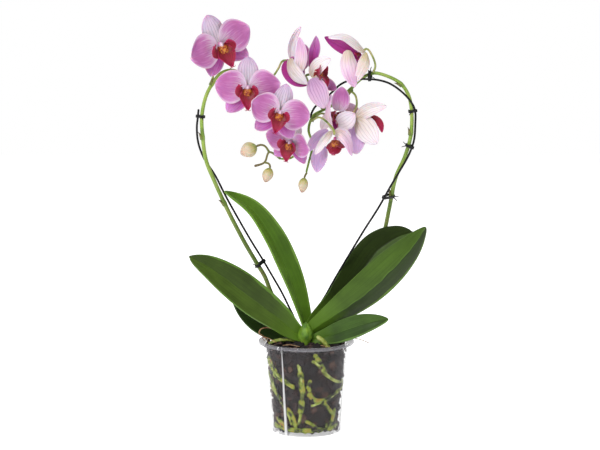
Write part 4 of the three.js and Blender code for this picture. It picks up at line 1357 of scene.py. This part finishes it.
def leaf_blade(name, leaf, thickness):
    """A leaf bent along its midrib, with a groove over the midrib and gentle waves."""
    path = Path(leaf["midrib"])
    seed = len(name) * 1.7

    def point(u, v):
        t = 1 - (1 - v) ** 1.6
        along = path.along(t)
        lean = math.radians(leaf["tilt"][0] + (leaf["tilt"][1] - leaf["tilt"][0]) * t)
        side, front = leaf_axes(along, lean)
        across = 2 * u - 1
        if side.cross(along).dot(front) < 0:
            across = -across
        width = leaf["half_width"] * leaf_outline(t, leaf["fullest"])
        rise = leaf["fold"] * width * abs(across) ** 1.4
        rise += leaf["wave"] * abs(across) ** 3 * math.sin(7 * t + seed + across)
        rise += leaf["wave"] * 0.8 * noise.noise(Vector((across * 0.8, t * 3, seed)))
        rise -= 0.5 * math.exp(-(across / 0.1) ** 2) * math.copysign(1, leaf["fold"])
        return path.at(t) + side * across * width + front * rise

    blade = surface(name, 28, 60, point)
    apply_modifier(blade, "SOLIDIFY", thickness=thickness, offset=0.0)
    return apply_modifier(blade, "BEVEL", width=0.3 * MM, segments=2, limit_method="ANGLE",
                          angle_limit=math.radians(50))


class ORCHID_OT_leaves(bpy.types.Operator):
    """Models the six waxy leaves"""

    bl_idname = "orchid.leaves"
    bl_label = "Leaves"

    def execute(self, context):
        thickness = context.scene.orchid_plant.leaf_thickness
        for node, leaf in LEAVES.items():
            blade = leaf_blade(node + "_blade", leaf, thickness)
            upper, lower, midrib, margin = leaf["colours"]
            if leaf["midrib"][-1][0] > 0:
                # On a leaf that grows to the right the texture runs from the upper edge down.
                upper, lower = lower, upper
            skin = waxy_leaf("waxy_" + node, (upper, lower, midrib, margin))
            finish(paint(blade, skin), "leaf", node)
        return {"FINISHED"}


# ---------------------------------------------------------------- spikes, wires and clips


def flower_matrix(flower):
    """The turn and place of a flower head, in millimetres."""
    yaw, nod, lean = (math.radians(angle) for angle in flower["turn"])
    turn = Matrix.Rotation(yaw, 4, "Z") @ Matrix.Rotation(nod, 4, "X") @ Matrix.Rotation(lean, 4, "Y")
    return Matrix.Translation(Vector(flower["at"])) @ turn


def behind_flower(flower, back):
    """A point behind a flower's centre."""
    return flower_matrix(flower) @ Vector((0, back, 0))


def bud_top(bud):
    """Where a bud's stalk meets it."""
    return Vector(bud["at"]) - Vector(bud["hang"]).normalized() * (bud["length"] / 2 - 0.4)


def spike_radius(settings, path, joints):
    """The radius of a spike along its length, swollen a little at its joints."""
    foot, tip = settings.spike_foot / MM, settings.spike_tip / MM
    shares = [path.nearest(joint) for joint in joints]

    def radius(t):
        near = max(math.exp(-((t - s) * path.length / JOINT_REACH) ** 2) for s in shares)
        return (foot + (tip - foot) * t ** 2.2) * (1 + JOINT_SWELL * near)

    return radius


def bract(name, path, joint, radius):
    """A sheath that clasps a spike at a joint, its tip standing a little away."""
    share = path.nearest(joint)
    along = path.along(share)
    centre = path.at(share)
    out = Vector((0, -1, 0)).cross(along).normalized()
    front = along.cross(out).normalized()

    def point(u, v):
        wrap = (u - 0.5) * math.radians(BRACT_WRAP) * (1 - v) ** 0.6
        reach = radius + 0.5 + 1.6 * v ** 2
        around = out * math.cos(wrap) + front * math.sin(wrap)
        return centre + around * reach + along * (BRACT_LENGTH * v - BRACT_DROP)

    sheath = surface(name, 12, 10, point)
    return apply_modifier(sheath, "SOLIDIFY", thickness=0.4 * MM, offset=1.0)


def stalk_rod(name, points, radius):
    """The stalk of a flower or bud, swelling to its ends."""
    return rod(name, Path(points), lambda t: radius * (1 + 0.3 * (2 * t - 1) ** 4), 12, 2.5)


def make_spike(side, settings, skins, points, stalks, bud_stalks, bracts, tips):
    """A spike with its stalks and bracts, as it grew. The thin tips and the stalks of the
    buds have the dark skin of the bracts."""
    name = side + "_spike"
    path = Path(points)
    stem = paint(rod(name, path, spike_radius(settings, path, bracts), 16, 3.0), skins["spike"])
    radius = settings.stalk_radius / MM
    lines = []
    for flower_node, line in stalks.items():
        flower = FLOWERS[flower_node]
        lines.append([*line, behind_flower(flower, STALK_LEAD), behind_flower(flower, STALK_END)])
    dark_lines = [list(tip) for tip in tips]
    for bud_node, line in bud_stalks.items():
        dark_lines.append([*line, bud_top(BUDS[bud_node])])
    branches = [paint(stalk_rod(f"{name}_stalk", line, radius), skins["stalk"]) for line in lines]
    branches += [paint(stalk_rod(f"{name}_twig", line, radius), skins["bract"])
                 for line in dark_lines]
    sheaths = [paint(bract(f"{name}_bract", path, joint, settings.spike_foot / MM), skins["bract"])
               for joint in bracts]
    finish(join(name, [stem, *branches, *sheaths]), "spike", "spike_" + side)


class ORCHID_OT_spikes(bpy.types.Operator):
    """Models the two flower spikes with their stalks and bracts"""

    bl_idname = "orchid.spikes"
    bl_label = "Spikes"

    def execute(self, context):
        settings = context.scene.orchid_plant
        skins = dict(spike=spike_skin(settings), stalk=flower_stalk_skin(), bract=papery_bract())
        make_spike("left", settings, skins, LEFT_SPIKE, LEFT_STALKS, LEFT_BUD_STALKS, LEFT_BRACTS,
                   [LEFT_TIP])
        make_spike("right", settings, skins, RIGHT_SPIKE, RIGHT_STALKS, RIGHT_BUD_STALKS,
                   RIGHT_BRACTS, [])
        return {"FINISHED"}


class ORCHID_OT_wires(bpy.types.Operator):
    """Models the two coated wires that hold the spikes"""

    bl_idname = "orchid.wires"
    bl_label = "Wires"

    def execute(self, context):
        settings = context.scene.orchid_support
        material = coated_steel_wire(settings)
        radius = settings.wire_radius / MM
        for name, points in (("left", LEFT_WIRE), ("right", RIGHT_WIRE)):
            piece = rod(name + "_wire", Path(points), lambda t: radius, 14, 3.0)
            finish(paint(piece, material), "wire", "wire_" + name)
        return {"FINISHED"}


def clip_axes(spike, wire, near):
    """The centre of a clip on its spike, the way to the wire and the way along, and how far
    the wire is."""
    on_wire = wire.nearest(near)
    on_spike = spike.nearest(wire.at(on_wire))
    centre = spike.at(on_spike)
    along = (spike.along(on_spike) + wire.along(on_wire)).normalized()
    toward = wire.at(on_wire) - centre
    toward -= along * toward.dot(along)
    return centre, toward.normalized(), along, toward.length


def clip_band(name, centre, across, along, reach, spike_size, wire_size):
    """The clip's band: a flat strip round the spike and its wire."""
    up = along.cross(across).normalized()
    outline = []
    for i in range(13):
        turn = math.pi / 2 + math.pi * i / 12
        outline.append((spike_size * math.cos(turn), spike_size * math.sin(turn)))
    for i in range(13):
        turn = -math.pi / 2 + math.pi * i / 12
        outline.append((reach + wire_size * math.cos(turn), wire_size * math.sin(turn)))
    outline.append(outline[0])
    section = [
        (0, -CLIP_HALF_HEIGHT), (CLIP_THICKNESS, -CLIP_HALF_HEIGHT),
        (CLIP_THICKNESS, CLIP_HALF_HEIGHT), (0, CLIP_HALF_HEIGHT), (0, -CLIP_HALF_HEIGHT),
    ]
    columns, rows = len(section) - 1, len(outline) - 1

    def point(u, v):
        depth, height = section[round(u * columns)]
        x, y = outline[round(v * rows)]
        middle = Vector((min(max(x, 0), reach), 0))
        out = (Vector((x, y)) - middle).normalized()
        flat = Vector((x, y)) + out * depth
        return centre + across * flat.x + up * flat.y + along * height

    band = weld(surface(name, columns, rows, point))
    return apply_modifier(band, "BEVEL", width=0.3 * MM, segments=2, limit_method="ANGLE",
                          angle_limit=math.radians(40))


def clip_grips(name, centre, across, along, size):
    """The clip's grips: two pairs of short prongs either side, splayed apart."""
    up = along.cross(across).normalized()
    prongs = []
    for side in (-1, 1):
        for splay in (-1, 1):
            start = centre + up * side * size + along * splay * 0.8
            middle = start + up * side * 2.6 + along * splay * 1.0 - across * 0.8
            end = start + up * side * 5.2 + along * splay * 2.8 - across * 2.2
            prongs.append(rod(name, Path([start, middle, end]), lambda t: 0.65 - 0.25 * t, 10, 1.0))
    return prongs


class ORCHID_OT_clips(bpy.types.Operator):
    """Models the clips that hold the spikes to the wires"""

    bl_idname = "orchid.clips"
    bl_label = "Clips"

    def execute(self, context):
        support = context.scene.orchid_support
        plant = context.scene.orchid_plant
        material = moulded_clip_plastic(support)
        paths = {
            "left": (Path(LEFT_SPIKE), Path(LEFT_WIRE)),
            "right": (Path(RIGHT_SPIKE), Path(RIGHT_WIRE)),
        }
        spike_size = plant.spike_foot / MM + CLIP_CLEARANCE
        wire_size = support.wire_radius / MM + CLIP_CLEARANCE
        for node, (side, near) in CLIPS.items():
            centre, across, along, reach = clip_axes(*paths[side], near)
            band = clip_band(node, centre, across, along, reach, spike_size, wire_size)
            grips = clip_grips(node, centre, across, along, spike_size + CLIP_THICKNESS / 2)
            piece = join(node + "_band", [band, *grips])
            finish(paint(piece, material), "clip", node, angle=40)
        return {"FINISHED"}


# ---------------------------------------------------------------- flowers and buds


def tepal_half_width(shape, v):
    """Half the width of a sepal or petal a share v of the way along it."""
    swell = math.sin(math.pi * min(v ** shape["fullest"], 1)) ** 0.6
    return 3 * (1 - v) ** 2 + shape["half_width"] * swell


def cupped(a, b, layer, cup):
    """A point of the cupped flower: (a, b) lies in the flat flower, layer is the depth in
    front of the sepals, and cup is the angle that the bowl rises half-way out."""
    distance = max(math.hypot(a, b), 1e-6)
    start = math.radians(cup - TEPAL_CURL / 2)
    bend = math.radians(TEPAL_CURL) / BACK_SEPAL["length"]
    slope = start + bend * distance
    radius = (math.sin(slope) - math.sin(start)) / bend - layer * math.sin(slope)
    forward = (math.cos(start) - math.cos(slope)) / bend + layer * math.cos(slope)
    return Vector((radius * a / distance, -forward, radius * b / distance))


def tepal(name, shape, hand, layer, cup, size, seed, thickness, skins):
    """One sepal or petal, with a groove along its middle and a softly waved margin. hand is
    1 on the right of the flower's middle line and -1 on the left."""
    turn = math.radians(shape["angle"] * hand)

    def point(u, v):
        t = math.sin(v * math.pi / 2) ** 1.1
        across = 2 * u - 1
        reach = TEPAL_START + t * (shape["length"] - TEPAL_START)
        side = across * tepal_half_width(shape, t)
        wave = 1.5 * abs(across) ** 2 * math.sin(8 * t + seed + 2.5 * across) * t
        wave += 2.4 * noise.noise(Vector((across * 1.1, t * 2.2, seed * 3)))
        groove = -0.5 * math.exp(-(across / 0.12) ** 2) * (1 - t)
        reflex = -1.6 * across ** 2 * math.sin(math.pi * min(t, 1))
        a = (reach * math.sin(turn) + side * math.cos(turn)) * size
        b = (reach * math.cos(turn) - side * math.sin(turn)) * size
        return cupped(a, b, layer + wave + groove + reflex, cup)

    return two_faced(surface(name, 22, 30, point), thickness, skins)


def two_faced(blade, thickness, skins):
    """Thickens a tepal, which gets the first skin on its inner face and the other behind."""
    paint(blade, *skins)
    return apply_modifier(blade, "SOLIDIFY", thickness=thickness, offset=0.0, material_offset=1)


def turned_tepal(name, midrib, half_width, look, seed, thickness, skins):
    """A sepal or petal along a path of its own, its inner face looking one way, cupped
    about its midrib and softly waved."""
    path = Path(midrib)
    look = Vector(look).normalized()

    def point(u, v):
        t = math.sin(v * math.pi / 2) ** 1.1
        across = 2 * u - 1
        along = path.along(t)
        side = along.cross(look).normalized()
        inner = side.cross(along).normalized()
        width = half_width * (0.25 * (1 - t) ** 2 + math.sin(math.pi * min(t, 1)) ** 0.6)
        rise = 0.22 * width * abs(across) ** 1.8 - 0.6 * math.exp(-(across / 0.12) ** 2)
        rise += 0.9 * across ** 2 * math.sin(8 * t + seed + 2 * across)
        rise += 1.4 * noise.noise(Vector((across * 1.1, t * 2.2, seed * 3)))
        return path.at(t) + side * across * width + inner * rise

    return two_faced(surface(name, 22, 30, point), thickness, skins)


def lobe(name, path, half_widths, curl, thickness, spread=0):
    """A lobe of the lip along a path, with its half-widths at even steps and its edges
    curled forward by curl millimetres. spread turns its width, in degrees from sideways."""
    line = Path(path)
    widths = Path([(w, 0, i) for i, w in enumerate(half_widths)])
    spread = math.radians(spread)
    sideways = Vector((math.cos(spread), -math.sin(spread), 0))

    def point(u, v):
        across = 2 * u - 1
        t = math.sin(v * math.pi / 2)
        along = line.along(t)
        side = (sideways - along * sideways.dot(along)).normalized()
        out = side.cross(along).normalized()
        width = widths.at(t).x
        wave = 0.8 * abs(across) ** 2 * math.sin(13 * t + 3 * across)
        return line.at(t) + side * across * width + out * (curl * across ** 2 + wave)

    blade = surface(name, 14, 20, point)
    return apply_modifier(blade, "SOLIDIFY", thickness=thickness, offset=0.0)


def lip_pieces(name, scale, thickness):
    """The lip: a pointed middle lobe that hangs down, two side lobes that stand up like
    wings, and two thin curled tails."""
    middle = lobe(
        name, [(0, -3, -1), (0, -8, -4), (0, -12.5, -9), (0, -13.5, -16), (0, -11, -24)],
        (4, 8.5, 11, 7, 0.6), -3.2, thickness,
    )
    wings = [
        lobe(
            name,
            [(hand * 2, -5, -6), (hand * 6, -8, -4.5), (hand * 9.5, -11, -1), (hand * 10.5, -13.5, 4),
             (hand * 8, -14.8, 7)],
            (4, 6.5, 7, 6, 3.4), 1.8 * hand, thickness, spread=hand * 48,
        ) for hand in (-1, 1)
    ]
    tails = []
    for hand in (-1, 1):
        curl = [(hand * 0.6, -11, -23.5), (hand * 1.8, -12.2, -25.4), (hand * 3.2, -13.8, -25),
                (hand * 3.4, -14.6, -23.4)]
        tails.append(rod(name, Path(curl), lambda t: 0.45 - 0.2 * t, 8, 1.0))
    pieces = [middle, *wings, *tails]
    for piece in pieces:
        piece.data.transform(Matrix.Scale(scale, 4))
    return pieces


def egg(name, centre, size, lumps):
    """A rounded body with poles front and back, its surface raised by a few lumps."""
    centre, size = Vector(centre), Vector(size)

    def point(u, v):
        turn, rise = 2 * math.pi * u, math.pi * v
        unit = Vector((
            math.sin(rise) * math.cos(turn), math.cos(rise), math.sin(rise) * math.sin(turn),
        ))
        grow = 1 + lumps * math.sin(2 * turn) ** 2 * math.sin(rise)
        return centre + Vector(p * s for p, s in zip(unit, size)) * grow

    return weld(surface(name, 20, 14, point))


def make_flower(node, flower, materials, thickness):
    """One flower head: three sepals, two petals, the lip, its callus and the column."""
    size = flower["size"]
    sepal_cup, petal_cup = flower["cups"]
    extra = flower["extra"]
    place = flower_matrix(flower)
    place.translation *= MM
    seed = int(node.split("_")[1]) * 2.3
    whorls = {"sepal": [], "petal": []}
    open_tepals = () if node in TURNED else OPEN_TEPALS
    for part, whorl, skin, shape, hand in open_tepals:
        cup = (petal_cup if whorl == "petal" else sepal_cup) + extra.get(part, 0)
        layer = PETAL_LAYER if whorl == "petal" else 0
        skins = (materials[skin], materials["back"])
        piece = tepal(f"{node}_{part}", shape, hand, layer, cup, size, seed + len(part) + hand,
                      thickness, skins)
        whorls[whorl].append(piece)
    for index, (whorl, skin, midrib, half_width, look) in enumerate(TURNED.get(node, [])):
        back = skin if skin in ("blush", "white") else "back"
        skins = (materials[skin], materials[back])
        piece = turned_tepal(f"{node}_{whorl}", midrib, half_width, look, seed + index,
                             thickness, skins)
        piece.data.transform(place.inverted())
        whorls[whorl].append(piece)
    lip_size = flower["lip"]
    lip = [paint(piece, materials["lip"]) for piece in lip_pieces(node, lip_size, thickness)]
    callus = egg(f"{node}_callus", **CALLUS)
    column = egg(f"{node}_column", **COLUMN)
    for piece in (callus, column):
        piece.data.transform(Matrix.Scale(lip_size, 4))
    # The lip stands further forward where the petals close more.
    forward = cupped(6.5 * lip_size + TEPAL_START, 0, PETAL_LAYER, petal_cup).y * 0.6
    for piece in (*lip, callus, column):
        piece.data.transform(Matrix.Translation((0, forward * MM, 0)))
    groups = (
        (join(f"{node}_sepal_whorl", whorls["sepal"]), "sepal", [f"{node}_sepals"]),
        (join(f"{node}_petal_pair", whorls["petal"]), "petal", [f"{node}_petals"]),
        (join(f"{node}_lip_lobes", lip), "lip", [f"{node}_lip"]),
        (join(f"{node}_callus_ridge", [paint(callus, materials["callus"])]), "lip", []),
        (join(f"{node}_column_body", [paint(column, materials["column"])]), "lip", []),
    )
    for piece, slot, nodes in groups:
        piece.data.transform(place)
        finish(piece, slot, *nodes)


class ORCHID_OT_flowers(bpy.types.Operator):
    """Models the ten open flowers"""

    bl_idname = "orchid.flowers"
    bl_label = "Flowers"

    def execute(self, context):
        settings = context.scene.orchid_flower
        materials = flower_materials(settings)
        for node, flower in FLOWERS.items():
            make_flower(node, flower, materials, settings.thickness)
        return {"FINISHED"}


def bud_body(name, bud):
    """A bud: three closed sepals whose edges meet in shallow grooves."""

    def point(u, v):
        turn = 2 * math.pi * u
        rise = math.sin(math.pi * v) ** 0.62 * (1 - 0.22 * v)
        groove = 1 - 0.07 * math.exp(-(math.sin(1.5 * turn) / 0.16) ** 2) * math.sin(math.pi * v)
        radius = bud["radius"] * rise * groove * 1.02
        return Vector((radius * math.cos(turn), radius * math.sin(turn), -v * bud["length"]))

    body = weld(surface(name, 48, 30, point))
    down = Vector(bud["hang"]).normalized()
    turn = Vector((0, 0, -1)).rotation_difference(down).to_matrix().to_4x4()
    start = (Vector(bud["at"]) - down * bud["length"] / 2) * MM
    body.data.transform(Matrix.Translation(start) @ turn)
    return body


class ORCHID_OT_buds(bpy.types.Operator):
    """Models the three closed buds"""

    bl_idname = "orchid.buds"
    bl_label = "Buds"

    def execute(self, context):
        material = bud_skin(context.scene.orchid_plant)
        for node, bud in BUDS.items():
            finish(paint(bud_body(node + "_body", bud), material), "bud", node)
        return {"FINISHED"}


# ---------------------------------------------------------------- stage


FLOOR_SIZE = 6
AMBIENT_STRENGTH = 0.36

# Soft lights: place, aim and side in metres, and power in watts. The strip is taller than wide.
LIGHTS = {
    "key": ((-1.1, -2.0, 2.2), (0, 0, 0.25), 1.1, 58),
    "fill": ((1.8, -1.4, 1.0), (0, 0, 0.25), 1.4, 8),
    "back": ((0.4, 1.6, 1.6), (0, 0, 0.3), 1.2, 14),
    "strip": ((-2.4, -0.85, 0.5), (0, 0, 0.1), 0.14, 16),
}
STRIP_HEIGHT = 1.8

# The camera: place in metres, degrees that it is raised from looking straight down, and lens
# and sensor width in millimetres.
CAMERA_PLACE = (-0.008, -3.0, 0.709)
CAMERA_TILT = 81.6
CAMERA_LENS = 143.1
CAMERA_SENSOR = 36


def soft_light(name, place, aim, size, power):
    """A square soft light aimed at a point. Returns its lamp."""
    lamp = bpy.data.lights.new(name, "AREA")
    lamp.size = size
    lamp.energy = power
    holder = bpy.data.objects.new(name, lamp)
    holder.location = place
    holder.rotation_euler = (Vector(aim) - Vector(place)).to_track_quat("-Z", "Y").to_euler()
    bpy.context.collection.objects.link(holder)
    return lamp


def floor_material():
    """A smooth pale studio floor, matt and almost white."""
    material, tree, shader = new_material(
        "studio_floor", roughness=0.9, emission_strength=0.62, emission_color=(1, 1, 1, 1),
    )
    place = add(tree, "TexCoord").outputs["Object"]
    patch = add(tree, "TexNoise", {"Vector": place, "Scale": 2.0, "Detail": 2.0})
    ramp = add(tree, "ValToRGB", {"Fac": patch.outputs["Fac"]}, stops=[
        (0.0, "#F4F4F4"), (1.0, "#FAFAFA"),
    ])
    tree.links.new(ramp.outputs["Color"], shader.inputs["Base Color"])
    return material


class ORCHID_OT_stage(bpy.types.Operator):
    """Sets the floor, the soft lights and the camera"""

    bl_idname = "orchid.stage"
    bl_label = "Stage"

    def execute(self, context):
        select_only()
        bpy.ops.mesh.primitive_plane_add(size=FLOOR_SIZE)
        floor = context.object
        floor.name = "studio_floor"
        paint(floor, floor_material())
        world = bpy.data.worlds.new("studio")
        world.use_nodes = True
        tree = world.node_tree
        backdrop = add(tree, "Background", {"Color": linear("#FFFFFF"), "Strength": 1.0})
        ambient = tree.nodes["Background"]
        ambient.inputs["Color"].default_value = linear("#FFFFFF")
        ambient.inputs["Strength"].default_value = AMBIENT_STRENGTH
        seen = add(tree, "LightPath").outputs["Is Camera Ray"]
        both = add(tree, "MixShader", {0: seen, 1: ambient.outputs[0], 2: backdrop.outputs[0]})
        tree.links.new(both.outputs[0], tree.nodes["World Output"].inputs["Surface"])
        context.scene.world = world
        lamps = {name: soft_light(name, *light) for name, light in LIGHTS.items()}
        lamps["strip"].shape = "RECTANGLE"
        lamps["strip"].size_y = STRIP_HEIGHT
        camera = bpy.data.cameras.new("camera")
        camera.lens = CAMERA_LENS
        camera.sensor_width = CAMERA_SENSOR
        camera.clip_end = 100
        holder = bpy.data.objects.new("camera", camera)
        holder.location = CAMERA_PLACE
        holder.rotation_euler = (math.radians(CAMERA_TILT), 0, 0)
        context.collection.objects.link(holder)
        context.scene.camera = holder
        context.scene.view_settings.view_transform = "Standard"
        return {"FINISHED"}


# ---------------------------------------------------------------- add-on


OPERATORS = (
    ORCHID_OT_stage,
    ORCHID_OT_pot,
    ORCHID_OT_bark,
    ORCHID_OT_roots,
    ORCHID_OT_crown,
    ORCHID_OT_leaves,
    ORCHID_OT_spikes,
    ORCHID_OT_wires,
    ORCHID_OT_clips,
    ORCHID_OT_flowers,
    ORCHID_OT_buds,
)


class ORCHID_PT_panel(bpy.types.Panel):
    """Lists the settings and the pieces of the orchid"""

    bl_idname = "ORCHID_PT_panel"
    bl_label = "Orchid"
    bl_space_type = "VIEW_3D"
    bl_region_type = "UI"
    bl_category = "Orchid"

    def draw(self, context):
        for key, group in SETTINGS.items():
            box = self.layout.box()
            for name in group.__annotations__:
                box.prop(getattr(context.scene, key), name)
        for operator in OPERATORS:
            self.layout.operator(operator.bl_idname)


def register():
    """Registers the settings, the operators and the panel."""
    for key, group in SETTINGS.items():
        bpy.utils.register_class(group)
        setattr(bpy.types.Scene, key, bpy.props.PointerProperty(type=group))
    for operator in OPERATORS:
        bpy.utils.register_class(operator)
    bpy.utils.register_class(ORCHID_PT_panel)


def unregister():
    """Takes away what register added."""
    bpy.utils.unregister_class(ORCHID_PT_panel)
    for operator in reversed(OPERATORS):
        bpy.utils.unregister_class(operator)
    for key, group in SETTINGS.items():
        delattr(bpy.types.Scene, key)
        bpy.utils.unregister_class(group)


def main():
    """Builds the orchid in order."""
    register()
    for operator in OPERATORS:
        group, name = operator.bl_idname.split(".")
        getattr(getattr(bpy.ops, group), name)()


if __name__ == "__main__":
    main()
